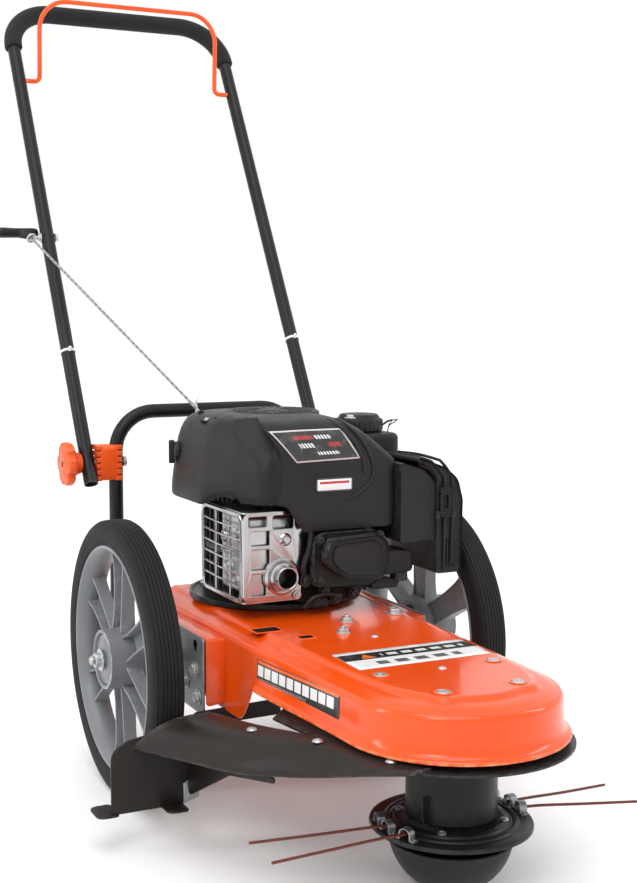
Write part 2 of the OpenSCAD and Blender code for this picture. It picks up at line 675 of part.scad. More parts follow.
// Bent strip that clamps a line end
module cleat(p) translate([p.x, p.y, string_z + string_t]) rotate([90, 0, p.z])
  translate([0, 0, -2]) linear_extrude(4) polygon(concat(arc([0, 6], 8, 0, 180, 10), [[-8, 0.1], [-4.5, 0.1]],
    arc([0, 6], 4.5, 180, 0, 8), [[4.5, 0.1], [8, 0.1]]));
module line_cleats() color("lightgray") {
  for (s = [0, 180], a = [160, 176, 194]) rotate([0, 0, s + a]) cleat([86, 0, 90]);
  for (a = [0:60:300]) rotate([0, 0, a + 12]) translate([60, 0, string_z + string_t + 4.5])
    cylinder(r = 4, h = 1.2, $fn = 32);
}
module trimmer_line(points) swept(points, line_r, 8);
module trimmer_lines() color("brown") for (s = [0, 180]) rotate([0, 0, s]) {
  trimmer_line([[-240, 33, 80], [-180, 24, 82], [-110, 12, 85.8], [-82, 8.1, 86.4]]);
  trimmer_line([[-240, -26, 79], [-180, -16, 81.5], [-120, -2, 85.5], [-92, 3.5, 86.3], [-82, 4, 86.4]]);
}
module ground_dome() color([0.11, 0.11, 0.11]) difference() {
  union() {
    intersection() {
      difference() {
        translate([0, 0, ball_z]) sphere(r = dome_ball_r, $fn = 96);
        translate([0, 0, ball_z]) sphere(r = dome_ball_r - 5, $fn = 96);
      }
      cylinder(r = 100, h = dome_rim_z);
    }
    cylinder(r = 19, h = 56);
  }
  translate([0, 0, 14]) cylinder(r = spindle_r + fit, h = 60);
}

deck_shell();
skirt_plate();
debris_deflector();
deck_fasteners();
side_brackets();
wheel_axle();
axle_nuts();
hub_bushes();
lower_frame();
frame_bolts();
clamp_bolts();
height_adjusters();
engine_plate();
crankcase();
cylinder_block();  // cylinder
valve_cover();
spark_plug();
muffler();
muffler_guard();
filter_base();
filter_element();
filter_cover();
carburettor();
fuel_tank();
oil_filler();
engine_shroud();
recoil_cover();
spindle_housing();
spindle_bearings();
drive_belt();
starter_rope();
tyre_left();
rim_left();
spokes_left();
tyre_right();
rim_right();
spokes_right();
crankshaft();
flywheel();
drive_pulley();
idler_arm();
idler_pulley();
spindle_shaft();
driven_pulley();
string_plate();
line_cleats();
trimmer_lines();
ground_dome();
handle_tube();
foam_grip();
rope_guide();
cable_ties();
bail();
starter_grip();
knob_left();
knob_right();
fuel_cap();
fuel_valve_knob();
filter_latch();
oil_dipstick();
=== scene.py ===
import json
import math
import bmesh
import bpy
from mathutils import Matrix, Vector

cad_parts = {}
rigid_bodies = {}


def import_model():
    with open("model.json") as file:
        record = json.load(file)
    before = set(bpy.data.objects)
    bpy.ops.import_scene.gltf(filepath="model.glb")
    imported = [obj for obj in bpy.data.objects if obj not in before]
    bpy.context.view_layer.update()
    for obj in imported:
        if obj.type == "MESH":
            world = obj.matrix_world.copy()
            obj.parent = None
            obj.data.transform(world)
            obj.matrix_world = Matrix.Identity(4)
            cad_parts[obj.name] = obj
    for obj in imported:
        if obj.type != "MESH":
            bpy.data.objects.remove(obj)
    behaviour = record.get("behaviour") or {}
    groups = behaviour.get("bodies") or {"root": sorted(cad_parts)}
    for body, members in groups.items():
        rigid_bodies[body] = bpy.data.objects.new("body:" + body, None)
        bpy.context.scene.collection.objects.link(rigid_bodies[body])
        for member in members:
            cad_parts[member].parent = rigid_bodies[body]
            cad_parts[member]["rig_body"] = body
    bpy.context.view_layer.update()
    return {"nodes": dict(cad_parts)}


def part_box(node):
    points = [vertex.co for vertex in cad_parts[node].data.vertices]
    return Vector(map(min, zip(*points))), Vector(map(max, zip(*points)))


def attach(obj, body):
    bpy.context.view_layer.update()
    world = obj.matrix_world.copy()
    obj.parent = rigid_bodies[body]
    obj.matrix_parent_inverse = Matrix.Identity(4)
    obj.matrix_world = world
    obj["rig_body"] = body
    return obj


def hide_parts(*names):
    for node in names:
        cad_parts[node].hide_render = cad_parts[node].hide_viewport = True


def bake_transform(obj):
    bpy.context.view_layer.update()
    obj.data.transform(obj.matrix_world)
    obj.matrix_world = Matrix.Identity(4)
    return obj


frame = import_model()
NODES = frame["nodes"]
MM = 0.001


# ---- Camera, light and floor ----
def make_camera():
    data = bpy.data.cameras.new("camera")
    data.sensor_width = 36.0
    data.lens = 55.40
    data.shift_x = 0.0388
    data.shift_y = 0.0059
    data.clip_start = 0.05
    camera = bpy.data.objects.new("camera", data)
    bpy.context.scene.collection.objects.link(camera)
    turn = math.radians(25.38)
    down = math.radians(5.91)
    look = Vector((math.sin(turn) * math.cos(down), math.cos(turn) * math.cos(down), -math.sin(down)))
    camera.location = (-0.8256, -1.2902, 0.6702)
    camera.rotation_euler = look.to_track_quat("-Z", "Y").to_euler()
    bpy.context.scene.camera = camera
    bpy.context.scene.view_settings.view_transform = "Standard"


def area_light(name, place, aim, size, power):
    """A white rectangular light at a place, turned to its aim. power is in watts."""
    data = bpy.data.lights.new(name, "AREA")
    data.shape = "RECTANGLE"
    data.size, data.size_y = size
    data.energy = power
    light = bpy.data.objects.new(name, data)
    bpy.context.scene.collection.objects.link(light)
    light.location = place
    light.rotation_euler = (Vector(aim) - Vector(place)).to_track_quat("-Z", "Y").to_euler()


def make_studio():
    """White floor and world, a soft sun and three area lights."""
    floor_mesh = bpy.data.meshes.new("floor")
    floor_mesh.from_pydata([(-30, -30, 0), (30, -30, 0), (30, 30, 0), (-30, 30, 0)], [], [(0, 1, 2, 3)])
    floor = bpy.data.objects.new("floor", floor_mesh)
    bpy.context.scene.collection.objects.link(floor)
    floor_mesh.materials.append(surface("floor", (0.88, 0.88, 0.88), (0.90, 0.90, 0.90), rough=0.8))
    world = bpy.data.worlds.new("studio")
    bpy.context.scene.world = world
    world.use_nodes = True
    world.node_tree.nodes["Background"].inputs[0].default_value = (1.0, 1.0, 1.0, 1)
    world.node_tree.nodes["Background"].inputs[1].default_value = 1.0
    data = bpy.data.lights.new("sky", "SUN")
    data.energy = 1.1
    data.angle = math.radians(50)
    sky = bpy.data.objects.new("sky", data)
    bpy.context.scene.collection.objects.link(sky)
    sky.rotation_euler = (math.radians(18), math.radians(-16), 0)
    area_light("key", (-2.6, -2.2, 3.0), (0, 0.4, 0.3), (1.2, 1.2), 26)
    area_light("side", (-3.2, 1.2, 1.4), (0, 0.5, 0.4), (0.5, 2.2), 22)
    area_light("right", (3.0, -0.8, 2.2), (0, 0.4, 0.3), (0.6, 2.0), 22)


# ---- Materials ----
class Tree:
    """Adds nodes to one material's tree and links them."""

    def __init__(self, name):
        self.material = bpy.data.materials.new(name)
        self.material.use_nodes = True
        self.tree = self.material.node_tree
        self.tree.nodes.clear()
        self.shader = self.tree.nodes.new("ShaderNodeBsdfPrincipled")
        output = self.tree.nodes.new("ShaderNodeOutputMaterial")
        self.link(self.shader.outputs[0], output.inputs[0])
        self.place = self.tree.nodes.new("ShaderNodeTexCoord").outputs["Object"]

    def link(self, source, target):
        self.tree.links.new(source, target)

    def set(self, **values):
        for name, value in values.items():
            self.shader.inputs[name.replace("_", " ")].default_value = value

    def noise(self, scale, detail=3.0, rough=0.5):
        node = self.tree.nodes.new("ShaderNodeTexNoise")
        node.inputs["Scale"].default_value = scale
        node.inputs["Detail"].default_value = detail
        node.inputs["Roughness"].default_value = rough
        self.link(self.place, node.inputs["Vector"])
        return node.outputs["Fac"]

    def cells(self, scale):
        node = self.tree.nodes.new("ShaderNodeTexVoronoi")
        node.inputs["Scale"].default_value = scale
        self.link(self.place, node.inputs["Vector"])
        return node.outputs["Distance"]

    def steps(self, value, stops):
        """Colour ramp through (position, colour) stops."""
        node = self.tree.nodes.new("ShaderNodeValToRGB")
        ramp = node.color_ramp
        while len(ramp.elements) < len(stops):
            ramp.elements.new(0.5)
        for element, (position, colour) in zip(ramp.elements, stops):
            element.position = position
            element.color = (*colour, 1) if len(colour) == 3 else colour
        self.link(value, node.inputs[0])
        return node.outputs[0]

    def mix(self, amount, first, second):
        node = self.tree.nodes.new("ShaderNodeMix")
        node.data_type = "RGBA"
        for socket, value in ((node.inputs[0], amount), (node.inputs[6], first), (node.inputs[7], second)):
            if isinstance(value, bpy.types.NodeSocket):
                self.link(value, socket)
            else:
                socket.default_value = value if isinstance(value, float) else (*value, 1)
        return node.outputs[2]

    def maths(self, operation, first, second=0.0):
        node = self.tree.nodes.new("ShaderNodeMath")
        node.operation = operation
        for socket, value in zip(node.inputs, (first, second)):
            if isinstance(value, bpy.types.NodeSocket):
                self.link(value, socket)
            else:
                socket.default_value = value
        return node.outputs[0]

    def ranged(self, value, low, high, out_low, out_high):
        node = self.tree.nodes.new("ShaderNodeMapRange")
        node.inputs["From Min"].default_value = low
        node.inputs["From Max"].default_value = high
        node.inputs["To Min"].default_value = out_low
        node.inputs["To Max"].default_value = out_high
        self.link(value, node.inputs["Value"])
        return node.outputs[0]

    def raise_by(self, height, distance):
        node = self.tree.nodes.new("ShaderNodeBump")
        node.inputs["Strength"].default_value = 1.0
        node.inputs["Distance"].default_value = distance
        self.link(height, node.inputs["Height"])
        return node.outputs[0]

    def edges(self, low, high):
        """1 along convex edges of the mesh and 0 elsewhere."""
        pointiness = self.tree.nodes.new("ShaderNodeNewGeometry").outputs["Pointiness"]
        return self.ranged(pointiness, low, high, 0.0, 1.0)

    def finish(self, colour, rough, bump=None):
        self.link(colour, self.shader.inputs["Base Color"])
        self.link(rough, self.shader.inputs["Roughness"])
        if bump:
            self.link(bump, self.shader.inputs["Normal"])
        return self.material


def surface(name, dark, light, rough, vary=0.06, grain=900.0, depth=0.00004, wear=None, dust=0.0,
            metallic=0.0, coat=0.0, scale=9.0, shine=0.5):
    """Painted, moulded or machined surface with soft colour drift, fine grain and worn edges."""
    t = Tree(name)
    t.set(Metallic=metallic, Coat_Weight=coat, Coat_Roughness=0.06, Specular_IOR_Level=shine)
    drift = t.noise(scale, 4.0, 0.55)
    fine = t.noise(grain, 2.0)
    colour = t.mix(t.ranged(drift, 0.3, 0.7, 0.0, 1.0), dark, light)
    smudge = t.noise(scale * 4.3, 5.0, 0.62)
    if dust:
        up = t.tree.nodes.new("ShaderNodeSeparateXYZ")
        t.link(t.tree.nodes.new("ShaderNodeNewGeometry").outputs["Normal"], up.inputs[0])
        amount = t.maths("MULTIPLY", t.ranged(up.outputs["Z"], 0.2, 1.0, 0.0, dust),
                         t.ranged(smudge, 0.45, 0.7, 0.2, 1.0))
        colour = t.mix(amount, colour, (0.30, 0.28, 0.25))
    if wear:
        spots = t.ranged(t.noise(scale * 11, 4.0, 0.7), 0.42, 0.6, 0.0, 1.0)
        colour = t.mix(t.maths("MULTIPLY", t.edges(0.53, 0.60), spots), colour, wear)
    rough_value = t.ranged(smudge, 0.3, 0.7, rough - vary, rough + vary)
    return t.finish(colour, rough_value, t.raise_by(fine, depth))


def zinc_plate(name, dark=(0.40, 0.41, 0.42), light=(0.60, 0.61, 0.62)):
    """Zinc plating with its crystal flakes."""
    t = Tree(name)
    t.set(Metallic=0.9)
    flakes = t.cells(260.0)
    colour = t.mix(t.ranged(flakes, 0.1, 0.7, 0.0, 1.0), dark, light)
    stain = t.noise(40.0, 5.0, 0.6)
    colour = t.mix(t.ranged(stain, 0.52, 0.72, 0.0, 0.35), colour, (0.30, 0.29, 0.27))
    return t.finish(colour, t.ranged(flakes, 0.0, 0.8, 0.30, 0.48), t.raise_by(stain, 0.00005))


def tyre_rubber():
    """Matte rubber, dustier in the low places."""
    t = Tree("tyre_rubber")
    t.set(Specular_IOR_Level=0.22)
    drift = t.noise(14.0, 5.0, 0.6)
    pointiness = t.edges(0.44, 0.52)
    colour = t.mix(pointiness, (0.022, 0.020, 0.019), (0.009, 0.009, 0.0095))
    colour = t.mix(t.ranged(drift, 0.5, 0.75, 0.0, 0.3), colour, (0.030, 0.028, 0.026))
    return t.finish(colour, t.ranged(drift, 0.3, 0.7, 0.62, 0.80), t.raise_by(t.noise(1500.0, 3.0), 0.00008))


def foam_rubber():
    """Closed-cell foam sleeve, its pores painted darker as shade."""
    t = Tree("foam_rubber")
    t.set(Specular_IOR_Level=0.2, Sheen_Weight=0.05, Sheen_Roughness=0.6)
    pores = t.cells(1100.0)
    drift = t.noise(25.0, 4.0)
    # Painted shade: darker at the pore centres, where the bump makes the pits
    colour = t.mix(t.ranged(pores, 0.1, 0.6, 0.0, 1.0), (0.006, 0.006, 0.006), (0.018, 0.018, 0.0185))
    return t.finish(colour, t.ranged(drift, 0.3, 0.7, 0.80, 0.95), t.raise_by(pores, 0.00025))


def chrome_plate(name, rough=0.16):
    """Bright plating with handling haze and a heat tint."""
    t = Tree(name)
    t.set(Metallic=1.0)
    haze = t.noise(35.0, 6.0, 0.65)
    tint = t.noise(11.0, 3.0)
    colour = t.mix(t.ranged(tint, 0.4, 0.7, 0.0, 1.0), (0.50, 0.50, 0.51), (0.38, 0.37, 0.35))
    return t.finish(colour, t.ranged(haze, 0.3, 0.75, rough - 0.06, rough + 0.16), t.raise_by(haze, 0.00012))


def braid(name, pitch, light, dark):
    """Braided rope: two families of strands crossing around the rope, from the u and v of its mesh, with
    painted shade between the strands.
    """
    t = Tree(name)
    t.set(Sheen_Weight=0.3, Sheen_Roughness=0.5, Specular_IOR_Level=0.3)
    uv = t.tree.nodes.new("ShaderNodeUVMap").outputs[0]
    split = t.tree.nodes.new("ShaderNodeSeparateXYZ")
    t.link(uv, split.inputs[0])
    along = t.maths("MULTIPLY", split.outputs["X"], pitch)
    around = t.maths("MULTIPLY", split.outputs["Y"], 4.0)
    first = t.maths("SINE", t.maths("MULTIPLY", t.maths("ADD", along, around), math.tau))
    second = t.maths("SINE", t.maths("MULTIPLY", t.maths("SUBTRACT", along, around), math.tau))
    strands = t.maths("MAXIMUM", first, second)
    # Painted shade: the colour follows the strands' relief, darker in the gaps between them and lighter on
    # their crests
    colour = t.mix(t.ranged(strands, -0.6, 1.0, 0.0, 1.0), dark, light)
    return t.finish(colour, t.ranged(strands, -1.0, 1.0, 0.9, 0.7), t.raise_by(strands, 0.0005))


def pleated_paper():
    """Paper of the filter element, with its folds across it, painted darker in the fold troughs as shade."""
    t = Tree("pleated_paper")
    split = t.tree.nodes.new("ShaderNodeSeparateXYZ")
    t.link(t.place, split.inputs[0])
    pleats = t.maths("SINE", t.maths("MULTIPLY", split.outputs["Y"], 1500.0))
    # Painted shade: the colour follows the folds, darker in their troughs and lighter on their ridges
    colour = t.mix(t.ranged(pleats, -1.0, 1.0, 0.0, 1.0), (0.45, 0.38, 0.24), (0.80, 0.72, 0.54))
    return t.finish(colour, t.ranged(t.noise(60.0), 0.3, 0.7, 0.8, 0.95), t.raise_by(pleats, 0.001))


def nylon_line():
    """Red-brown trimmer line with a scuffed skin."""
    t = Tree("nylon_line")
    t.set(Subsurface_Weight=0.1, Subsurface_Radius=(0.004, 0.001, 0.0005), Specular_IOR_Level=0.35)
    scuff = t.noise(400.0, 4.0, 0.6)
    colour = t.mix(t.ranged(scuff, 0.35, 0.65, 0.0, 1.0), (0.080, 0.013, 0.005), (0.16, 0.035, 0.014))
    return t.finish(colour, t.ranged(scuff, 0.3, 0.7, 0.30, 0.50), t.raise_by(scuff, 0.0001))


def label_material(name, draw):
    """A printed label. draw(tree, u, v) gives its colour from the u and v of its mesh."""
    t = Tree(name)
    t.set(Coat_Weight=0.5, Coat_Roughness=0.08)
    split = t.tree.nodes.new("ShaderNodeSeparateXYZ")
    t.link(t.tree.nodes.new("ShaderNodeUVMap").outputs[0], split.inputs[0])
    colour = draw(t, split.outputs["X"], split.outputs["Y"])
    scuff = t.noise(70.0, 5.0, 0.6)
    colour = t.mix(t.ranged(scuff, 0.55, 0.8, 0.0, 0.25), colour, (0.35, 0.34, 0.33))
    return t.finish(colour, t.ranged(scuff, 0.3, 0.7, 0.25, 0.42), t.raise_by(t.noise(600.0), 0.00002))


def inside(t, value, low, high):
    """1 where low < value < high."""
    above = t.maths("GREATER_THAN", value, low)
    below = t.maths("LESS_THAN", value, high)
    return t.maths("MULTIPLY", above, below)


def area(t, u, v, u0, u1, v0, v1):
    return t.maths("MULTIPLY", inside(t, u, u0, u1), inside(t, v, v0, v1))


def draw_gauge_label(t, u, v):
    """Black strip with an orange cap line, ten white boxes and thin white rules."""
    boxes = t.maths("MULTIPLY", inside(t, t.maths("FRACT", t.maths("MULTIPLY", u, 10.6)), 0.10, 0.93),
                    area(t, u, v, 0.012, 0.94, 0.42, 0.80))
    rules = t.maths("MULTIPLY", inside(t, t.maths("FRACT", t.maths("MULTIPLY", v, 16.0)), 0.25, 0.55),
                    area(t, u, v, 0.02, 0.62, 0.14, 0.34))
    colour = t.mix(area(t, u, v, 0.01, 0.99, 0.86, 0.97), (0.012, 0.012, 0.012), (0.75, 0.13, 0.02))
    colour = t.mix(boxes, colour, (0.80, 0.80, 0.80))
    return t.mix(rules, colour, (0.55, 0.55, 0.55))


def draw_deck_sticker(t, u, v):
    """White strip with a black band, an orange triangle and plain bars."""
    black = area(t, u, v, 0.0, 1.0, 0.50, 0.86)
    white_bars = t.maths("MULTIPLY", inside(t, t.maths("FRACT", t.maths("MULTIPLY", u, 9.0)), 0.12, 0.80),
                         area(t, u, v, 0.30, 0.93, 0.62, 0.74))
    grey_bars = t.maths("MULTIPLY", inside(t, t.maths("FRACT", t.maths("MULTIPLY", u, 7.0)), 0.2, 0.85),
                        area(t, u, v, 0.18, 0.80, 0.16, 0.34))
    slope = t.maths("ABSOLUTE", t.maths("SUBTRACT", u, 0.19))
    wedge = t.maths("LESS_THAN", t.maths("ADD", t.maths("MULTIPLY", slope, 4.5), v), 0.80)
    wedge = t.maths("MULTIPLY", wedge, area(t, u, v, 0.1, 0.28, 0.56, 0.84))
    colour = t.mix(black, (0.80, 0.80, 0.80), (0.012, 0.012, 0.012))
    colour = t.mix(white_bars, colour, (0.74, 0.74, 0.74))
    colour = t.mix(wedge, colour, (0.80, 0.16, 0.02))
    return t.mix(grey_bars, colour, (0.10, 0.10, 0.10))


def draw_engine_decal(t, u, v):
    """Black panel with a pale border and plain red and white bars."""
    border = t.maths("SUBTRACT", 1.0, area(t, u, v, 0.022, 0.975, 0.045, 0.955))
    bar = lambda u0, u1, v0, v1: area(t, u, v, u0, u1, v0, v1)
    ticks = inside(t, t.maths("FRACT", t.maths("MULTIPLY", u, 22.0)), 0.10, 0.72)
    red = t.maths("MAXIMUM", bar(0.24, 0.52, 0.70, 0.82), bar(0.66, 0.84, 0.44, 0.58))
    white = t.maths("MAXIMUM", bar(0.55, 0.78, 0.70, 0.82), bar(0.24, 0.46, 0.44, 0.58))
    white = t.maths("MAXIMUM", white, bar(0.42, 0.74, 0.20, 0.30))
    colour = t.mix(border, (0.010, 0.010, 0.010), (0.62, 0.56, 0.56))
    colour = t.mix(t.maths("MULTIPLY", red, ticks), colour, (0.50, 0.02, 0.02))
    return t.mix(t.maths("MULTIPLY", white, ticks), colour, (0.70, 0.70, 0.70))


def draw_badge(t, u, v):
    """Plain silver plate with a red stripe."""
    border = t.maths("SUBTRACT", 1.0, area(t, u, v, 0.04, 0.96, 0.12, 0.88))
    colour = t.mix(border, (0.75, 0.75, 0.76), (0.03, 0.03, 0.03))
    return t.mix(area(t, u, v, 0.10, 0.90, 0.56, 0.74), colour, (0.45, 0.015, 0.015))


MAKE = {
    "deck_orange": lambda: surface("deck_orange", (0.72, 0.066, 0.002), (0.80, 0.080, 0.003), 0.22, 0.05,
                                   700.0, 0.00003, wear=(0.90, 0.30, 0.12), coat=0.28, scale=6.0, shine=0.35),
    "orange_paint": lambda: surface("orange_paint", (0.72, 0.066, 0.003), (0.80, 0.090, 0.006), 0.28, 0.06,
                                    wear=(0.9, 0.35, 0.15), coat=0.2, scale=14.0, shine=0.35),
    "orange_plastic": lambda: surface("orange_plastic", (0.72, 0.070, 0.004), (0.80, 0.095, 0.007), 0.38,
                                      0.08, 1600.0, 0.00006, wear=(0.95, 0.30, 0.12), scale=20.0, shine=0.35),
    "black_paint": lambda: surface("black_paint", (0.006, 0.006, 0.006), (0.011, 0.011, 0.011), 0.34, 0.09,
                                   1200.0, 0.00005, wear=(0.035, 0.035, 0.035), dust=0.03, scale=10.0,
                                   shine=0.24),
    "shroud_black": lambda: surface("shroud_black", (0.010, 0.010, 0.0105), (0.015, 0.015, 0.016), 0.46, 0.07,
                                    2200.0, 0.00009, wear=(0.03, 0.03, 0.03), dust=0.03, scale=8.0,
                                    shine=0.26),
    "black_plastic": lambda: surface("black_plastic", (0.006, 0.006, 0.0065), (0.012, 0.012, 0.0125), 0.44,
                                     0.08, 1700.0, 0.00009, wear=(0.05, 0.05, 0.05), dust=0.03, scale=16.0,
                                     shine=0.24),
    # Painted shade: near-black for sheets set in holes, slots and recesses, standing for the dark inside them
    "slot_black": lambda: surface("slot_black", (0.002, 0.002, 0.002), (0.004, 0.0035, 0.0035), 0.62, 0.12,
                                  900.0, 0.00005, scale=60.0, shine=0.15),
    "deflector": lambda: surface("deflector", (0.010, 0.0075, 0.0065), (0.017, 0.013, 0.0115), 0.42, 0.10,
                                 800.0, 0.00006, wear=(0.09, 0.08, 0.075), dust=0.04, scale=7.0, shine=0.24),
    "cast_alloy": lambda: surface("cast_alloy", (0.10, 0.10, 0.10), (0.20, 0.20, 0.20), 0.55, 0.10, 500.0,
                                  0.0004, wear=(0.40, 0.40, 0.40), metallic=0.7, scale=25.0),
    "dark_casting": lambda: surface("dark_casting", (0.007, 0.007, 0.0075), (0.014, 0.014, 0.0145), 0.44,
                                    0.10, 650.0, 0.00028, wear=(0.08, 0.08, 0.08), dust=0.03, scale=20.0,
                                    shine=0.26),
    "rim_plastic": lambda: surface("rim_plastic", (0.165, 0.172, 0.184), (0.215, 0.222, 0.235), 0.36, 0.08,
                                   1100.0, 0.00006, wear=(0.42, 0.43, 0.45), dust=0.06, scale=8.0, shine=0.4),
    "white_plastic": lambda: surface("white_plastic", (0.70, 0.70, 0.68), (0.80, 0.80, 0.78), 0.40, 0.08,
                                     scale=60.0),
    "yellow_plastic": lambda: surface("yellow_plastic", (0.62, 0.34, 0.03), (0.72, 0.42, 0.05), 0.42, 0.08,
                                      scale=40.0),
    "belt_rubber": lambda: surface("belt_rubber", (0.020, 0.020, 0.020), (0.034, 0.033, 0.032), 0.75, 0.10,
                                   900.0, 0.0002, scale=30.0),
    "flywheel_iron": lambda: surface("flywheel_iron", (0.16, 0.15, 0.14), (0.26, 0.25, 0.24), 0.5, 0.1, 400.0,
                                     0.0003, metallic=0.8, scale=20.0),
    "steel": lambda: surface("steel", (0.42, 0.42, 0.42), (0.56, 0.56, 0.55), 0.32, 0.10, 900.0, 0.00008,
                             metallic=1.0, scale=30.0),
    "zinc": lambda: zinc_plate("zinc"),
    "galvanised": lambda: zinc_plate("galvanised", (0.24, 0.25, 0.26), (0.36, 0.37, 0.385)),
    "chrome": lambda: chrome_plate("chrome"),
    "satin_chrome": lambda: chrome_plate("satin_chrome", 0.26),
    "tyre_rubber": tyre_rubber,
    "foam": foam_rubber,
    "filter_paper": pleated_paper,
    "line_nylon": nylon_line,
    "rope_weave": lambda: braid("rope_weave", 70.0, (0.62, 0.62, 0.60), (0.30, 0.30, 0.29)),
    "gauge_label": lambda: label_material("gauge_label", draw_gauge_label),
    "deck_sticker": lambda: label_material("deck_sticker", draw_deck_sticker),
    "engine_decal": lambda: label_material("engine_decal", draw_engine_decal),
    "badge": lambda: label_material("badge", draw_badge),
}
_made = {}


def mat(name):
    """The material of that name, made once."""
    if name not in _made:
        _made[name] = MAKE[name]()
    return _made[name]


# ---- Mesh helpers, all in millimetres ----
def piece(name, verts, faces, material, body, slot, hides=(), smooth=35, bevel=0.0, solid=0.0, uvs=None):
    """Turns points and faces into a shown piece that rides on a body."""
    mesh = bpy.data.meshes.new(name)
    mesh.from_pydata([tuple(c * MM for c in v) for v in verts], [], faces)
    bm = bmesh.new()
    bm.from_mesh(mesh)
    bmesh.ops.remove_doubles(bm, verts=bm.verts, dist=1e-6)
    bmesh.ops.recalc_face_normals(bm, faces=bm.faces)
    for face in bm.faces:
        face.smooth = True
    limit = math.radians(smooth)
    for edge in bm.edges:
        edge.smooth = len(edge.link_faces) == 2 and edge.calc_face_angle(0) < limit
    bm.to_mesh(mesh)
    bm.free()
    obj = bpy.data.objects.new(name, mesh)
    bpy.context.scene.collection.objects.link(obj)
    if uvs:
        layer = mesh.uv_layers.new(name="UVMap")
        for loop in mesh.loops:
            layer.data[loop.index].uv = uvs(mesh.vertices[loop.vertex_index].co / MM)
    mesh.materials.append(mat(material))
    if solid:
        modifier = obj.modifiers.new("sheet", "SOLIDIFY")
        modifier.thickness = solid * MM
        modifier.offset = -1
    if bevel:
        modifier = obj.modifiers.new("edges", "BEVEL")
        modifier.width = bevel * MM
        modifier.segments = 2
        modifier.limit_method = "ANGLE"
        modifier.angle_limit = math.radians(38)
        modifier.harden_normals = True
    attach(obj, body)
    if hides:
        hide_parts(*hides)
    return obj


def rounded_copy(node, material, width):
    """A copy of a CAD node with its edges rounded over, standing for that node."""
    mesh = NODES[node].data.copy()
    bm = bmesh.new()
    bm.from_mesh(mesh)
    bmesh.ops.remove_doubles(bm, verts=bm.verts, dist=2e-6)
    bmesh.ops.dissolve_limit(bm, angle_limit=math.radians(0.5), verts=bm.verts, edges=bm.edges)
    for face in bm.faces:
        face.smooth = True
    limit = math.radians(32)
    for edge in bm.edges:
        edge.smooth = len(edge.link_faces) == 2 and edge.calc_face_angle(0) < limit
    bm.to_mesh(mesh)
    bm.free()
    obj = bpy.data.objects.new(node + "_finished", mesh)
    bpy.context.scene.collection.objects.link(obj)
    mesh.materials.clear()
    mesh.materials.append(mat(material))
    modifier = obj.modifiers.new("edges", "BEVEL")
    modifier.width = width * MM
    modifier.segments = 2
    modifier.limit_method = "ANGLE"
    modifier.angle_limit = limit
    modifier.harden_normals = True
    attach(obj, NODES[node]["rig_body"])
    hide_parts(node)
    return obj


def grid_faces(rows, columns, closed_rows=False, closed_columns=False):
    """Quads of a rows by columns grid of points, numbered row by row."""
    faces = []
    for r in range(rows if closed_rows else rows - 1):
        for c in range(columns if closed_columns else columns - 1):
            r2, c2 = (r + 1) % rows, (c + 1) % columns
            faces.append((r * columns + c, r * columns + c2, r2 * columns + c2, r2 * columns + c))
    return faces


def loft(rings, caps=(True, True)):
    """Points and faces of a skin over rings of the same length."""
    columns = len(rings[0])
    verts = [p for ring in rings for p in ring]
    faces = grid_faces(len(rings), columns, closed_columns=True)
    if caps[0]:
        faces.append(tuple(range(columns)))
    if caps[1]:
        faces.append(tuple(len(verts) - 1 - i for i in range(columns)))
    return verts, faces


def revolve(profile, centre, axis="z", steps=72, closed=True):
    """Points and faces of a profile of (radius, height) turned round an axis through centre."""
    rings = []
    for i in range(steps):
        a = math.tau * i / steps
        ring = []
        for r, h in profile:
            p = (r * math.cos(a), r * math.sin(a), h)
            if axis == "x":
                p = (p[2], p[0], p[1])
            elif axis == "y":
                p = (p[0], p[2], p[1])
            ring.append(tuple(a_ + b_ for a_, b_ in zip(p, centre)))
        rings.append(ring)
    verts = [p for ring in rings for p in ring]
    return verts, grid_faces(steps, len(profile), closed_rows=True, closed_columns=closed)


def smooth_path(points, steps=6):
    """Catmull-Rom curve through the points."""
    pts = [Vector(p) for p in points]
    out = []
    for i in range(len(pts) - 1):
        p0, p1, p2, p3 = pts[max(i - 1, 0)], pts[i], pts[i + 1], pts[min(i + 2, len(pts) - 1)]
        for k in range(steps):
            t = k / steps
            out.append(0.5 * (2 * p1 + (p2 - p0) * t + (2 * p0 - 5 * p1 + 4 * p2 - p3) * t * t
                              + (3 * p1 - p0 - 3 * p2 + p3) * t ** 3))
    out.append(pts[-1])
    return out


def tube(points, radius, sides=12, squash=1.0):
    """Tube along points. radius is a number, or a function of the share of the way along."""
    pts = [Vector(p) for p in points]
    rings = []
    side = None
    for i, p in enumerate(pts):
        ahead = (pts[min(i + 1, len(pts) - 1)] - pts[max(i - 1, 0)]).normalized()
        if side is None:
            side = ahead.cross(Vector((0, 0, 1)) if abs(ahead.z) < 0.9 else Vector((1, 0, 0))).normalized()
        side = (side - ahead * side.dot(ahead)).normalized()
        up = side.cross(ahead)
        r = radius(i / (len(pts) - 1)) if callable(radius) else radius
        rings.append([tuple(p + r * (math.cos(a) * side + squash * math.sin(a) * up))
                      for a in (math.tau * k / sides for k in range(sides))])
    return loft(rings)


def join(*parts):
    """Puts several (points, faces) together."""
    verts, faces = [], []
    for v, f in parts:
        faces += [tuple(i + len(verts) for i in face) for face in f]
        verts += list(v)
    return verts, faces


def moved(part, offset=(0, 0, 0), turn=None):
    """A (points, faces) pair turned by a matrix and moved."""
    verts, faces = part
    out = []
    for v in verts:
        p = Vector(v)
        if turn:
            p = turn @ p
        p += Vector(offset)
        out.append(tuple(p))
    return out, faces


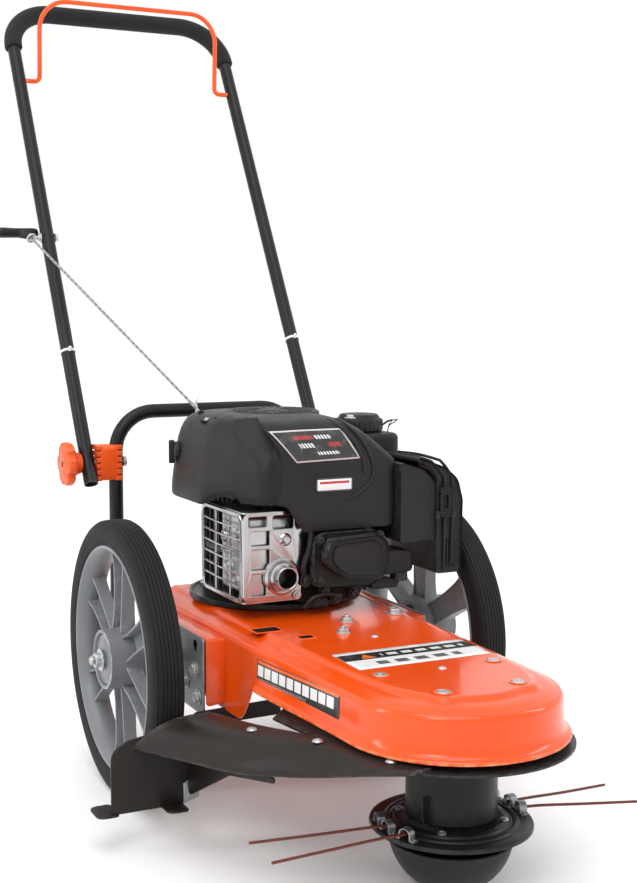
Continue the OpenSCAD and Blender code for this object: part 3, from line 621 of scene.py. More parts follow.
def block(low, high):
    (x0, y0, z0), (x1, y1, z1) = low, high
    verts = [(x, y, z) for z in (z0, z1) for x, y in ((x0, y0), (x1, y0), (x1, y1), (x0, y1))]
    return verts, [(3, 2, 1, 0), (4, 5, 6, 7), (0, 1, 5, 4), (1, 2, 6, 5), (2, 3, 7, 6), (3, 0, 4, 7)]


def rounded(points, radii, steps=6):
    """Outline through 2D corners, each rounded by its radius."""
    count = len(points)
    radii = [radii] * count if isinstance(radii, (int, float)) else radii
    out = []
    for i, r in enumerate(radii):
        p, a, b = Vector(points[i]), Vector(points[i - 1]), Vector(points[(i + 1) % count])
        u, w = (a - p).normalized(), (b - p).normalized()
        half = math.acos(max(-1, min(1, u.dot(w)))) / 2
        if r <= 0:
            out.append(tuple(p))
            continue
        reach = min(r / math.tan(half), 0.49 * (a - p).length, 0.49 * (b - p).length)
        for k in range(steps + 1):
            t = k / steps
            out.append(tuple((1 - t) ** 2 * (p + u * reach) + 2 * t * (1 - t) * p + t * t * (p + w * reach)))
    return out


def slab(outline, z0, z1, lift=lambda p, z: (p[0], p[1], z), edge=1.2, steps=3):
    """A plate between two heights over a 2D outline, with rounded rims. lift puts (point, height) in 3D."""
    centre = Vector((sum(p[0] for p in outline), sum(p[1] for p in outline))) / len(outline)

    def inset(amount):
        ring = []
        for p in outline:
            d = centre - Vector(p)
            ring.append(tuple(Vector(p) + d.normalized() * amount))
        return ring

    rows = []
    for k in range(steps + 1):
        a = math.pi / 2 * k / steps
        rows.append((edge * (1 - math.sin(a)), z0 + edge * (1 - math.cos(a))))
    for k in range(steps + 1):
        a = math.pi / 2 * k / steps
        rows.append((edge * (1 - math.cos(a)), z1 - edge * (1 - math.sin(a))))
    return loft([[lift(p, z) for p in inset(d)] for d, z in rows])


def smoothstep(a, b, value):
    t = max(0.0, min(1.0, (value - a) / (b - a)))
    return t * t * (3 - 2 * t)


def hex_head(at, across=8.0, height=5.0, axis="z", washer=0.0, stem=0.0):
    """Bolt head with a chamfered top, on a washer if wanted, its back on the point at."""
    parts = []
    base = 0.0
    if washer:
        parts.append(revolve([(0, 0), (washer - 0.4, 0), (washer, 0.3), (washer, 1.2), (washer - 0.4, 1.6),
                              (0, 1.6)],
                             (0, 0, 0), steps=32, closed=False))
        base = 1.5
    angles = [math.tau * (k + 0.5) / 24 for k in range(24)]
    ring = lambda r, z: [(r * math.cos(a), r * math.sin(a), z) for a in angles]

    def flat(a):
        """Distance from the axis to the hexagon's outline at an angle, its corners cut to the width across."""
        facet = (a + math.pi / 6) % (math.pi / 3) - math.pi / 6
        return min(across, across * 0.866 / max(0.2, math.cos(facet)))

    hexagon = lambda z: [(flat(a) * math.cos(a), flat(a) * math.sin(a), z) for a in angles]
    parts.append(loft([hexagon(base), hexagon(base + height - 0.9), ring(across * 0.84, base + height),
                       ring(across * 0.5, base + height), ring(across * 0.45, base + height - 0.5)]))
    if stem:
        parts.append(revolve([(0, 0), (across * 0.45, 0), (across * 0.45, base + height + stem - 0.8),
                              (across * 0.36, base + height + stem), (0, base + height + stem)], (0, 0, 0),
                             steps=24, closed=False))
    verts, faces = join(*parts)
    turn = {"z": Matrix(((1, 0, 0), (0, 1, 0), (0, 0, 1))), "-z": Matrix(((1, 0, 0), (0, -1, 0), (0, 0, -1))),
            "x": Matrix(((0, 0, 1), (1, 0, 0), (0, 1, 0))), "-x": Matrix(((0, 0, -1), (-1, 0, 0), (0, 1, 0))),
            "-y": Matrix(((1, 0, 0), (0, 0, -1), (0, 1, 0)))}[axis]
    return moved((verts, faces), at, turn)


# ---- Places shared with the CAD part, read from its nodes ----
def corner(node):
    """The low and the high corner of a CAD node's box."""
    low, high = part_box(node)
    return Vector(low) / MM, Vector(high) / MM


AXLE = (corner("wheel_axle")[0] + corner("wheel_axle")[1]) / 2
TYRE_LOW, TYRE_HIGH = corner("tyre_right")
WHEEL_R = (TYRE_HIGH.z - TYRE_LOW.z) / 2
WHEEL_X = (TYRE_LOW.x + TYRE_HIGH.x) / 2
DECK_TOP = corner("deck_shell")[1].z
ENGINE_Y = (corner("engine_plate")[0].y + corner("engine_plate")[1].y) / 2
PLATE_TOP = DECK_TOP + 5
PIVOT = Vector((0, AXLE.y + 281, 427.4))
LEAN = math.radians(30)
STRING_Z = 75.0
HANDLE_X = 202.0
TUBE_R = 11.1


def on_handle(x, forward, along):
    """A point in the handle's own plane: across, out of the plane towards the front, and along the tube."""
    return (x, PIVOT.y + along * math.sin(LEAN) - forward * math.cos(LEAN),
            PIVOT.z + along * math.cos(LEAN) + forward * math.sin(LEAN))


# ---- Deck ----
NOSE_R = 125.0
NOSE_STEPS = 56
SIDE_STEPS = 90
DECK_HALF = 142.0
DECK_END = 640.0
SHOULDER_Z = 240.0
LIP_Z = 190.0
WALL_LOW_Z = 137.0
CAP_BOLTS = [(-77, 32), (77, 32), (-49, -58), (49, -58)]


def deck_half(y):
    """Half width of the deck at a place along it."""
    return NOSE_R + (DECK_HALF - NOSE_R) * smoothstep(-60, 330, y)


def deck_outline(d):
    """Plan outline of the deck moved in by d: the nose arc, the right side, the rear and the left side."""
    points = []
    for i in range(NOSE_STEPS + 1):
        a = math.pi + math.pi * i / NOSE_STEPS
        points.append(((deck_half(0) - d) * math.cos(a), (NOSE_R - d) * math.sin(a)))
    rear_r = 30.0
    reach = max(rear_r - d, 3.0)
    right = [(deck_half(y) - d, y) for y in
             ((DECK_END - rear_r) * (i + 1) / SIDE_STEPS for i in range(SIDE_STEPS))]
    for i in range(1, 9):
        a = math.pi / 2 * i / 8
        right.append((DECK_HALF - d - reach + reach * math.cos(a),
                      DECK_END - d - reach + reach * math.sin(a)))
    rear = [(x / 10 * (DECK_HALF - d - reach), DECK_END - d) for x in range(9, 0, -1)]
    half = right + rear
    points += half + [(0, DECK_END - d)] + [(-x, y) for x, y in reversed(half)]
    return points


def deck_depth(x, y):
    """Distance in from the deck's outline."""
    if y < 0:
        return NOSE_R - math.hypot(x * NOSE_R / deck_half(0), y)
    return min(deck_half(y) - abs(x), DECK_END - y)


def deck_top_z(x, y):
    """Height of the deck's upper skin: sloping shoulder, low step to the panel, pads under the front bolts."""
    d = deck_depth(x, y)
    z = SHOULDER_Z + 5.6 * (1 - (1 - min(1.0, max(0.0, (d - 8) / 24))) ** 2)
    edge = 25 + 6 * smoothstep(60, -40, y)
    panel = smoothstep(edge, edge + 9, d)
    for bx, by in CAP_BOLTS[2:]:
        away = math.hypot(x - bx, (y - by) * 0.95)
        panel = max(panel, 1 - smoothstep(19, 25, away))
    z += (DECK_TOP - SHOULDER_Z - 5.6) * panel
    ring = math.hypot(x, y - ENGINE_Y)
    z -= 1.0 * smoothstep(3.0, 0.0, abs(ring - 131) / 1.5) * smoothstep(15, 40, d)
    return z


def make_deck():
    """Pressed shell: flared lip, wall with the arch behind the skirt, shoulder and raised top panel."""
    flat = deck_outline(0)
    count = len(flat)
    normals = []
    for i, p in enumerate(flat):
        ahead = Vector(flat[(i + 1) % count]) - Vector(flat[i - 1])
        normals.append(Vector((ahead.y, -ahead.x)).normalized())

    def lip(i):
        """Height of the lower edge at a point of the outline, and how much of the flared lip is there."""
        y = flat[i][1]
        return LIP_Z - (LIP_Z - WALL_LOW_Z) * smoothstep(236, 290, y), 1 - smoothstep(222, 262, y)

    rows = []
    for flare, rise in ((9.0, -1.5), (9.6, 0.2), (9.0, 1.8), (6.0, 3.0), (3.2, 5.2), (1.5, 9.0), (0.5, 14.0)):
        row = []
        for i, p in enumerate(flat):
            z, front = lip(i)
            q = Vector(p) + normals[i] * flare * front
            row.append((q.x, q.y, z + rise * front + (1 - front) * (rise + 1.5)))
        rows.append(row)
    for share in (0.15, 0.35, 0.6, 0.8, 1.0):
        row = []
        for i, p in enumerate(flat):
            z, front = lip(i)
            low = z + 14 * front + (1 - front) * 15.5
            q = Vector(p) - normals[i] * 0.8 * share
            row.append((q.x, q.y, low + (SHOULDER_Z - 9 - low) * share))
        rows.append(row)
    for k in range(1, 7):
        a = math.pi / 2 * k / 6
        ring = deck_outline(0.8 + 7.2 * (1 - math.cos(a)))
        rows.append([(x, y, SHOULDER_Z - 9 + 9 * math.sin(a)) for x, y in ring])
    inner = deck_outline(8.0)
    steps = 40
    for k in range(1, steps + 1):
        t = k / steps * 0.985
        row = []
        for x, y in inner:
            sx, sy = 0.0, min(max(y, 0.0), DECK_END - 140)
            px, py = x + (sx - x) * t, y + (sy - y) * t
            row.append((px, py, deck_top_z(px, py)))
        rows.append(row)
    verts, faces = loft(rows, caps=(False, False))
    last = len(rows) - 1
    column = lambda i: last * count + i % count
    nose = NOSE_STEPS // 2
    # The innermost ring is closed by joining its two sides across the middle line, from the nose back.
    for i in range(count // 2 - 1):
        a, b = (nose + i) % count, (nose + i + 1) % count
        c, d = (nose - i - 1) % count, (nose - i) % count
        if len({a, b, c, d}) == 4:
            faces.append((column(a), column(b), column(c), column(d)))
        elif len({a, b, c, d}) == 3:
            faces.append(tuple(column(j) for j in dict.fromkeys((a, b, c, d))))
    piece("deck_pressing", verts, faces, "deck_orange", "chassis", "deck_orange", ["deck_shell"], smooth=50,
          solid=2.2)


def deck_slot(name, x, y, length, width):
    """A stamped slot's rolled rim, and a near-black sheet in its mouth as painted shade."""
    outline = rounded([(x - length / 2, y - width / 2), (x + length / 2, y - width / 2),
                       (x + length / 2, y + width / 2), (x - length / 2, y + width / 2)], 3.0)
    rim = []
    for grow, z in ((1.8, 0.0), (1.0, 0.8), (0.0, 0.9), (-0.9, 0.4), (-1.2, -0.6)):
        rim.append([(p[0] + grow * (p[0] - x) / (length / 2), p[1] + grow * (p[1] - y) / (width / 2),
                     DECK_TOP + z)
                    for p in outline])
    piece(name + "_rim", *loft(rim, (False, False)), "deck_orange", "chassis", "deck_orange", smooth=60)
    # Painted shade: a near-black sheet in the slot's mouth stands for the dark inside of the hole
    inner = [(p[0], p[1]) for p in rim[-2]]
    piece(name + "_mouth", *slab(inner, DECK_TOP - 0.2, DECK_TOP + 0.3, edge=0.05), "slot_black", "chassis",
          "black_plastic")


# How far a label stands off the surface under it, in millimetres
LABEL_STAND = 0.35


def patch(name, corners, lift, material, columns=24, rows=10):
    """A thin printed label over a four-cornered region. lift puts a corner-space point on the surface."""
    a, b, c, d = [Vector(p) for p in corners]
    verts = []
    for r in range(rows + 1):
        for k in range(columns + 1):
            u, v = k / columns, r / rows
            p = (a * (1 - u) + b * u) * (1 - v) + (d * (1 - u) + c * u) * v
            verts.append(tuple(lift(p, LABEL_STAND)))
    mesh = bpy.data.meshes.new(name)
    faces = grid_faces(rows + 1, columns + 1)
    mesh.from_pydata([tuple(x * MM for x in v) for v in verts], [], faces)
    layer = mesh.uv_layers.new(name="UVMap")
    for loop in mesh.loops:
        r, k = divmod(loop.vertex_index, columns + 1)
        layer.data[loop.index].uv = (k / columns, r / rows)
    for face in mesh.polygons:
        face.use_smooth = True
    mesh.materials.append(mat(material))
    obj = bpy.data.objects.new(name, mesh)
    bpy.context.scene.collection.objects.link(obj)
    modifier = obj.modifiers.new("sheet", "SOLIDIFY")
    modifier.thickness = 0.25 * MM
    modifier.offset = 0
    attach(obj, "chassis")
    return obj


def make_fasteners():
    """Sunk cap screws and bolts on the deck, and the nuts beneath it."""
    discs, wells, nuts = [], [], []
    for x, y in CAP_BOLTS:
        wells.append(revolve([(6.6, 0.05), (9.6, 0.1), (10.4, 0.7), (10.0, 1.3), (8.6, 1.2), (8.2, 0.2)],
                             (x, y, DECK_TOP), steps=40))
        discs.append(revolve([(0, 0.2), (2.6, 0.4), (3.0, 1.8), (6.6, 1.9), (7.6, 1.2), (7.8, 0)],
                             (x, y, DECK_TOP), steps=36, closed=False))
        nuts.append(hex_head((x, y, 176.5), 7.5, 5.0, "-z", stem=4))
    for k in range(4):
        a = math.radians(45 + 90 * k)
        x, y = 107 * math.cos(a), ENGINE_Y + 107 * math.sin(a)
        nuts.append(hex_head((x, y, PLATE_TOP), 7.5, 5.0))
        nuts.append(hex_head((x, y, DECK_TOP - 3), 7.5, 5.0, "-z", stem=4))
    nuts.append(hex_head((95, 300, DECK_TOP), 9.0, 6.0, washer=12))
    nuts.append(revolve([(0, 188), (8.6, 188), (9, 188.5), (9, 194), (5, 194.5), (5, 249)], (95, 300, 0),
                        steps=32, closed=False))
    piece("cap_screws", *join(*discs), "zinc", "chassis", "zinc", ["deck_fasteners"], smooth=34)
    piece("cap_screw_wells", *join(*wells), "deck_orange", "chassis", "deck_orange", smooth=50)
    piece("deck_nuts", *join(*nuts), "zinc", "chassis", "zinc", smooth=28)


def make_deck_details():
    """Rivets and bolts on the top, the two stamped slots and the two printed labels."""
    for x, y in ((7, 196), (3, 28)):
        piece(f"deck_rivet_{y}", *revolve([(0, 2.4), (2.2, 2.2), (4.2, 1.2), (5.0, 0)],
                                          (x, y, DECK_TOP - 0.1), steps=28, closed=False), "zinc", "chassis",
              "zinc", smooth=60)
    for i, (x, y) in enumerate(((14, 285), (-19, 232))):
        piece(f"deck_bolt_{i + 1}", *hex_head((x, y, DECK_TOP - 0.2), 7.4, 4.6, washer=10, stem=3), "zinc",
              "chassis", "zinc", smooth=28)
    deck_slot("slot_rear", -103.5, 286, 37, 24)
    deck_slot("slot_front", -73.5, 230, 21, 17)
    on_top = lambda p, s: (p.x, p.y, deck_top_z(p.x, p.y) + s)
    patch("deck_sticker", [(-88, 61, 0), (100, 61, 0), (96, 136, 0), (-86, 136, 0)], on_top, "deck_sticker")

    def on_wall(p, s):
        """p holds the place along the deck and the height."""
        bow = 0.8 * smoothstep(204, 231, p.y) + 1.2 * smoothstep(230, 235, p.y)
        x = -deck_half(p.x) + bow - s
        return (x, p.x, p.y)

    patch("gauge_label", [(236, 193, 0), (36, 199, 0), (36, 234, 0), (236, 229, 0)], on_wall, "gauge_label",
          columns=40)


# ---- Running gear ----
def make_wheel(side):
    """Tyre with ribbed tread, rim and hub with six channel spokes, and the hub cap."""
    hand = "left" if side < 0 else "right"
    body = name = f"wheel_{hand}"
    centre = (side * WHEEL_X, AXLE.y, AXLE.z)
    half = (TYRE_HIGH.x - TYRE_LOW.x) / 2
    tread = []
    ribs = 6
    for k in range(ribs * 10 + 1):
        u = k / (ribs * 10)
        w = -15.0 + 30.0 * u
        groove = smoothstep(0.38, 0.48, abs((u * ribs) % 1.0 - 0.5))
        crown = 1.0 - 0.9 * (abs(w) / 15.0) ** 2.5
        tread.append((WHEEL_R - 1.9 * groove - 1.1 * (1 - crown), w))
    sidewall = [(187.0, 17.5), (184.0, 19.8), (179.5, 21.3), (174.0, half), (168.0, half - 0.3),
                (163.5, half - 1.4), (162.6, half - 1.6), (161.8, half - 1.1), (158.5, half - 1.6),
                (156.0, half - 3.0), (154.5, half - 6)]
    profile = tread + sidewall + [(154.4, -half + 6)] + [(r, -w) for r, w in reversed(sidewall)][1:]
    piece(name + "_tyre", *revolve(profile, centre, "x", steps=120), "tyre_rubber", body, "tyre_rubber",
          [f"tyre_{hand}"], smooth=40)

    band = [(155.6, 18.5), (154.0, 20.2), (151.5, 19.6), (149.5, 17.0), (146.0, 12.0), (143.6, 5.0),
            (142.6, 0.0), (143.6, -5.0), (146.0, -12.0), (149.5, -17.0), (151.5, -19.6), (154.0, -20.2),
            (155.6, -18.5)]
    parts = [revolve([(r, w * side) for r, w in band], centre, "x", steps=120)]
    hub = [(9.1, 28.0), (14.0, 28.0), (15.2, 27.2), (15.4, 24.0), (33.5, 24.0), (34.5, 24.5), (35.2, 27.5),
           (36.2, 29.4), (39.4, 29.6), (40.4, 28.6), (41.0, 10.0), (43.5, -2.0), (43.5, -18.0), (40.0, -24.0),
           (36.0, -29.0), (31.0, -29.2), (29.5, -28.0), (28.5, -11.0), (15.5, -10.0), (14.5, -28.6),
           (9.1, -29.4)]
    parts.append(revolve([(r, w * side) for r, w in hub], centre, "x", steps=72))
    spokes = 6
    for k in range(spokes):
        a = math.tau * k / spokes

        def put(radial, across, depth, a=a):
            return (centre[0] + side * depth, centre[1] + radial * math.sin(a) + across * math.cos(a),
                    centre[2] + radial * math.cos(a) - across * math.sin(a))

        def bar(rows):
            return loft([[put(*p) for p in row] for row in rows])

        web = []
        for r, w, dep in ((38, 15.0, -6.0), (60, 13.6, -7.2), (95, 14.4, -8.0), (125, 17.0, -8.2),
                          (146, 21.0, -8.0)):
            web.append([(r, -w, dep), (r, w, dep), (r, w, dep - 4.2), (r, -w, dep - 4.2)])
        parts.append(bar(web))
        for s in (-1, 1):
            flange = []
            for r, w, front, back in ((38, 15.0, 9.0, -13.5), (60, 13.6, 7.0, -12.6), (95, 14.4, 5.6, -12.5),
                                      (125, 17.0, 5.4, -12.8), (147, 21.0, 7.5, -13.5)):
                flange.append([(r, s * w, front), (r, s * (w + 3.4), front), (r, s * (w + 3.4), back),
                               (r, s * w, back)])
            parts.append(bar(flange))
    names = [f"{part}_{hand}" for part in ("rim", "spokes")]
    piece(name + "_rim", *join(*parts), "rim_plastic", body, "rim_plastic", names, smooth=32, bevel=0.8)
    cap = [(9.2, 24.4), (9.2, 26.5), (12.5, 27.6), (25.5, 27.3), (27.0, 26.6), (32.8, 26.0), (33.2, 24.2)]
    piece(name + "_hub_cap", *revolve([(r, w * side) for r, w in cap], centre, "x", steps=60), "rim_plastic",
          body, "rim_plastic", smooth=30)


def make_axle_ends():
    """The axle with its threaded ends, and a nut with a washer at each end."""
    for side in (-1, 1):
        way = "x" if side > 0 else "-x"
        at = (side * 273.8, AXLE.y, AXLE.z)
        piece(f"axle_nut_{'left' if side < 0 else 'right'}", *hex_head(at, 10.8, 8.0, way, washer=15), "zinc",
              "chassis", "zinc", ["axle_nuts"], smooth=28)
    profile = [(0, -289.3), (4.6, -289.3), (6.3, -287.4)]
    for k in range(14):
        x = -287.0 + k * 0.9
        profile += [(6.3, x), (5.7, x + 0.45)]
    profile += [(6.35, -273.5), (6.35, 273.5)]
    for k in range(14):
        x = 274.4 + k * 0.9
        profile += [(5.7, x), (6.3, x + 0.45)]
    profile += [(6.3, 287.4), (4.6, 289.3), (0, 289.3)]
    piece("axle_rod", *revolve(profile, (0, AXLE.y, AXLE.z), "x", steps=40, closed=False), "steel", "chassis",
          "steel", ["wheel_axle"], smooth=50)


# ---- Engine ----
SHROUD_CENTRE = Vector((-18.0, 480.0))
SHROUD_LEVELS = [(0.0, 0.990), (0.025, 1.0), (0.30, 1.0), (0.52, 0.998), (0.68, 0.990), (0.78, 0.970),
                 (0.85, 0.942), (0.905, 0.902), (0.945, 0.850), (0.972, 0.780), (0.988, 0.690), (0.997, 0.58),
                 (1.0, 0.44)]
SHROUD_TOP = 520.0
FACET_WAY = Vector((-0.506, -0.610, 0.610))
FACET_LEVEL = 111.3


def shroud_outline(z):
    """Plan of the blower shroud at a height: round at the back and left, with a proud hood in front that
    leans out to the left and slopes away on the right near the top. Each point carries how far the facet
    may cut into it."""
    lean = 35 * (max(0.0, z - 440) / 72) ** 2
    lobe = max(0.0, lean - 12)
    slope = 1.3 * max(0.0, z - 470)
    left = -133 + 12 * max(0.0, min(1.0, (z - 412) / 88))
    corners = [(116 - slope, 327), (116 - 0.3 * slope, 612), (left, 614), (left, 440),
               (-82 - lobe, 344 + 2.4 * lobe), (-61 - lean, 341), (-55 - lean, 326)]
    points = rounded(corners, [16, 46, 98, 50, 14, 3.0, 7.0], 12)
    dense = []
    for i, p in enumerate(points):
        q = points[(i + 1) % len(points)]
        cut = [1.0 if 2 <= (k % len(points)) // 13 <= 5 else 0.0 for k in (i, i + 1)]
        parts = 14 if (i + 1) % 13 == 0 else 1
        for k in range(parts):
            t = k / parts
            dense.append((p[0] + (q[0] - p[0]) * t, p[1] + (q[1] - p[1]) * t, cut[0] + (cut[1] - cut[0]) * t))
    return dense


def cut_facet(p, share):
    """Moves a point of the shroud level with the facet left of the hood, if it is above it."""
    over = max(0.0, FACET_WAY.dot(p) - FACET_LEVEL)
    inward = Vector((-FACET_WAY.x, -FACET_WAY.y, 0.0))
    return p + inward * (share * over / inward.length_squared)


def shroud_foot(x, y):
    """Height of the shroud's lower edge: lowest under the hood, raised over the muffler."""
    if y < 345 and x > -62:
        return 368 + 36 * smoothstep(-28, -58, x)
    if y < 380 and x < -50:
        return 405.0
    left = smoothstep(0, -60, x)
    over = smoothstep(445, 400, y) * smoothstep(330, 370, y) * left
    back = 397 - 24 * smoothstep(500, 600, y) * (1 - left)
    right = smoothstep(60, 110, x)
    return (back + 15 * over) * (1 - right) + 384 * right


def shroud_scale(share):
    for (a, s), (b, t) in zip(SHROUD_LEVELS, SHROUD_LEVELS[1:]):
        if share <= b:
            return s + (t - s) * (share - a) / (b - a)
    return SHROUD_LEVELS[-1][1]


def hood_point(x, z, stand=0.0):
    """Point on the hood's front at a place across and a height, moved out by stand."""
    low = shroud_foot(x, 327)
    share = (z - low) / (SHROUD_TOP - low)
    s = shroud_scale(max(0.0, min(1.0, share)))
    y = SHROUD_CENTRE.y - (SHROUD_CENTRE.y - (326 + (x + 56) / 172)) * s
    return (x, y - stand, z + stand * 0.3 * (1 - s) * 10)


def make_shroud():
    """Blower shroud with its ridges, decal, badge, louvres and two screws."""
    rows = []
    levels = SHROUD_LEVELS[:2] + [(0.1, 1.0),
                                  (0.2, 1.0)] + SHROUD_LEVELS[2:4] + [(0.60, 0.996)] + SHROUD_LEVELS[4:]
    for share, scale in levels:
        row = []
        for x, y, cut in shroud_outline(395 + 125 * share):
            low = shroud_foot(x, y)
            q = SHROUD_CENTRE + (Vector((x, y)) - SHROUD_CENTRE) * scale
            row.append(tuple(cut_facet(Vector((q.x, q.y, low + (SHROUD_TOP - low) * share)), cut)))
        rows.append(row)
    piece("blower_shroud", *loft(rows, (False, True)), "shroud_black", "chassis", "black_paint",
          ["engine_shroud"], smooth=38, solid=2.5)
    ridge = [(38, 517), (47, 506), (60, 490), (71, 470), (76.5, 452), (75, 437), (66, 425), (48, 414),
             (29, 406)]
    inner = [(24, 517), (33, 506), (46, 490), (57, 470), (62.5, 454), (61.5, 441)]
    for i, line in enumerate((ridge, inner)):
        path = smooth_path([hood_point(x, z, 0.2) for x, z in line], 6)
        piece(f"hood_ridge_{i + 1}", *tube(path, lambda t: 2.6 * min(1.0, 8 * t + 0.15, 8 * (1 - t) + 0.15),
                                           12),
              "shroud_black", "chassis", "black_paint", smooth=60)
    on_hood = lambda p, s: hood_point(p.x, p.y, s)
    patch("engine_decal", [(-40, 462, 0), (57, 464, 0), (32, 505, 0), (-77, 505, 0)], on_hood, "engine_decal",
          rows=16)
    plate = rounded([(-12, 421), (44, 421), (44, 440), (-12, 440)], 6)
    lift = lambda p, z: hood_point(p[0], p[1], z)
    piece("engine_badge", *slab(plate, -0.5, 1.6, lift, 0.6), "badge", "chassis", "zinc",
          uvs=lambda v: ((v.x + 12) / 56, (v.z - 421) / 19))
    louvres = []
    for k in range(5):
        y = 455 + 11 * k
        x = -88 + 3 * k
        louvres.append(moved(slab(rounded([(-17, -2.6), (17, -2.6), (17, 2.6), (-17, 2.6)], 2.4), 0, 2.4,
                                  edge=1.0),
                             (x, y, 513.5), Matrix.Rotation(math.radians(-18), 3, "Z")))
    piece("shroud_louvres", *join(*louvres), "shroud_black", "chassis", "black_paint", smooth=50)
    # Painted shade: the near-black ring round the left screw stands for the dark recess of its well
    well = revolve([(0, -2), (12.5, -2), (13.0, 0.2), (11.6, 0.9), (10.4, 0.1), (0, -0.2)],
                   (-103, 480, 509.5), steps=48, closed=False)
    piece("shroud_screw_well", *well, "slot_black", "chassis", "black_plastic", smooth=50)
    piece("shroud_screw_left", *hex_head((-103, 480, 509.6), 6.5, 2.6, washer=8), "zinc", "chassis", "zinc")
    piece("shroud_screw_right", *hex_head((78, 398, 512.5), 5.5, 3.4, washer=8), "zinc", "chassis", "zinc")


def make_recoil():
    """Low recoil housing on the shroud, with a ring of ribs."""
    base = SHROUD_TOP - 5
    parts = [revolve([(0, 0), (69, 0), (69, 3.0), (67.5, 5.0), (64, 6.2), (61, 5.4), (58, 4.0), (26, 4.0),
                      (23, 5.2), (20, 6.4), (0, 6.4)], (0, ENGINE_Y, base), steps=96, closed=False)]
    for k in range(24):
        a = math.tau * k / 24
        rib = slab(rounded([(27, -2.0), (57, -4.2), (57, 4.2), (27, 2.0)], 2), 3.4, 6.2, edge=0.9)
        parts.append(moved(rib, (0, ENGINE_Y, base), Matrix.Rotation(a, 3, "Z")))
    piece("recoil_housing", *join(*parts), "black_plastic", "chassis", "black_plastic", ["recoil_cover"],
          smooth=40)


# Centre of the exhaust outlet, which points forward
OUTLET_AT = (-56, 0, 308)


def make_muffler():
    """Muffler body with its outlet, in a plated guard: a wire grille on the left and a pressed front."""
    body = rounded([(-104, 350), (-34, 350), (-34, 440), (-104, 440)], 14)
    parts = [slab(body, 284, 388, edge=5.0, steps=5)]
    seam = rounded([(-106, 348.5), (-32, 348.5), (-32, 442), (-106, 442)], 15)
    parts.append(slab(seam, 334, 337.5, edge=1.2))
    for x, z, r in ((-88, 360, 9), (-52, 358, 10), (-88, 312, 7)):
        parts.append(revolve([(r, 0), (r - 1, -1.6), (r - 4, -2.4), (0, -2.6)], (x, 350.4, z), "y", 28,
                             False))
    for y, z, r in ((372, 362, 11), (402, 312, 13), (424, 354, 9), (380, 300, 8)):
        parts.append(revolve([(r, 0), (r - 1, -1.8), (r - 5, -3.2), (0, -3.4)], (-104, y, z), "x", 28, False))
    piece("muffler_can", *join(*parts), "satin_chrome", "chassis", "chrome", smooth=42)
    outlet = [(13.5, 353), (13.5, 320.6), (14.2, 319.8), (15.4, 319.8), (16.0, 320.6), (16.0, 333),
              (18.6, 334.6), (19.4, 336.5), (19.4, 339.0), (17.0, 341.0), (16.0, 352)]
    piece("exhaust_outlet", *revolve(outlet, OUTLET_AT, "y", 56), "chrome", "chassis",
          "chrome", ["muffler"], smooth=35)
    # Painted shade: a near-black liner closing the pipe stands for its dark inside
    liner = revolve([(13.45, 322.5), (13.2, 323.5), (13.2, 351), (0, 351)], OUTLET_AT, "y", 40, False)
    piece("exhaust_bore", *liner, "slot_black", "chassis", "black_plastic", smooth=60)

    window = lambda x0, z0, x1, z1, r=3.0: rounded([(x0, z0), (x1, z0), (x1, z1), (x0, z1)], r)
    outer = rounded([(-112, 274), (-27, 274), (-26, 390), (-32, 397), (-106, 397), (-112, 390)],
                    [12, 10, 8, 9, 9, 9])
    holes = [window(-105, 377, -78, 391), window(-70, 373, -38, 391, 4), window(-101, 352, -74, 371, 2),
             window(-101, 319, -74, 346, 2), window(-101, 284, -79, 313, 2),
             [(-56 + 20.5 * math.cos(t), 308 + 20.5 * math.sin(t))
              for t in (math.tau * k / 40 for k in range(40))]]
    front = lambda u, v, d: (u, 341.6 - d - 1.2 * math.sin(math.pi * (u + 112) / 86), v)
    parts = [cut_plate([outer] + holes, 1.0, 0.7, front)]
    back = lambda u, v, d: (u, 346.0 - d, v)
    parts.append(cut_plate([window(-104, 281, -70, 374, 2)], 0.6, 0.3, back))
    collar = [(18.0, 341.0), (19.6, 337.6), (22.5, 336.6), (25.6, 338.0), (26.4, 340.6), (26.4, 343.0),
              (18.0, 343.0)]
    parts.append(revolve(collar, OUTLET_AT, "y", 48))
    parts.append(revolve([(3.0, 338.0), (6.5, 336.8), (8.8, 338.6), (9.4, 341.2), (3.0, 341.2)],
                         (-51, 0, 358), "y", 32))
    side_frame = rounded([(344, 273), (486, 273), (488, 396), (344, 396)], [16, 22, 24, 18], 8)
    side_face = rounded([(350, 279), (480, 279), (481, 390), (350, 390)], [12, 17, 18, 13], 8)
    left = lambda u, v, d: (-113.0 + 2.2 * (abs(u - 415) / 70) ** 2 - d, u, v)
    parts.append(cut_plate([side_frame, side_face], 1.4, 1.6, left))
    for k in range(6):
        z = 297 + 15.5 * k
        parts.append(tube([left(y, z, 0.4 - 1.4 * abs(y - 415) / 66) for y in range(349, 483, 6)], 1.5, 10))
    for y in (386, 436):
        parts.append(tube([left(y, z, -1.2) for z in range(278, 393, 8)], 1.7, 10))
    lid = rounded([(-112, 342), (-27, 342), (-27, 440), (-80, 440), (-112, 484)], 5)
    for low, high in ((394.4, 397.2), (273.2, 276.0)):
        parts.append(slab(lid, low, high, edge=1.2))
    parts.append(tube([(-110.6, 343.4, z) for z in range(284, 392, 8)], 4.2, 20))
    piece("muffler_grille", *join(*parts), "chrome", "chassis", "chrome", ["muffler_guard"], smooth=36)
    screws = [hex_head((-51, 337.5, 358), 4.6, 3.0, "-y"),
              hex_head((-34, 338.6, 281), 4.0, 2.6, "-y", washer=6)]
    piece("muffler_screws", *join(*screws), "zinc", "chassis", "zinc", smooth=28)


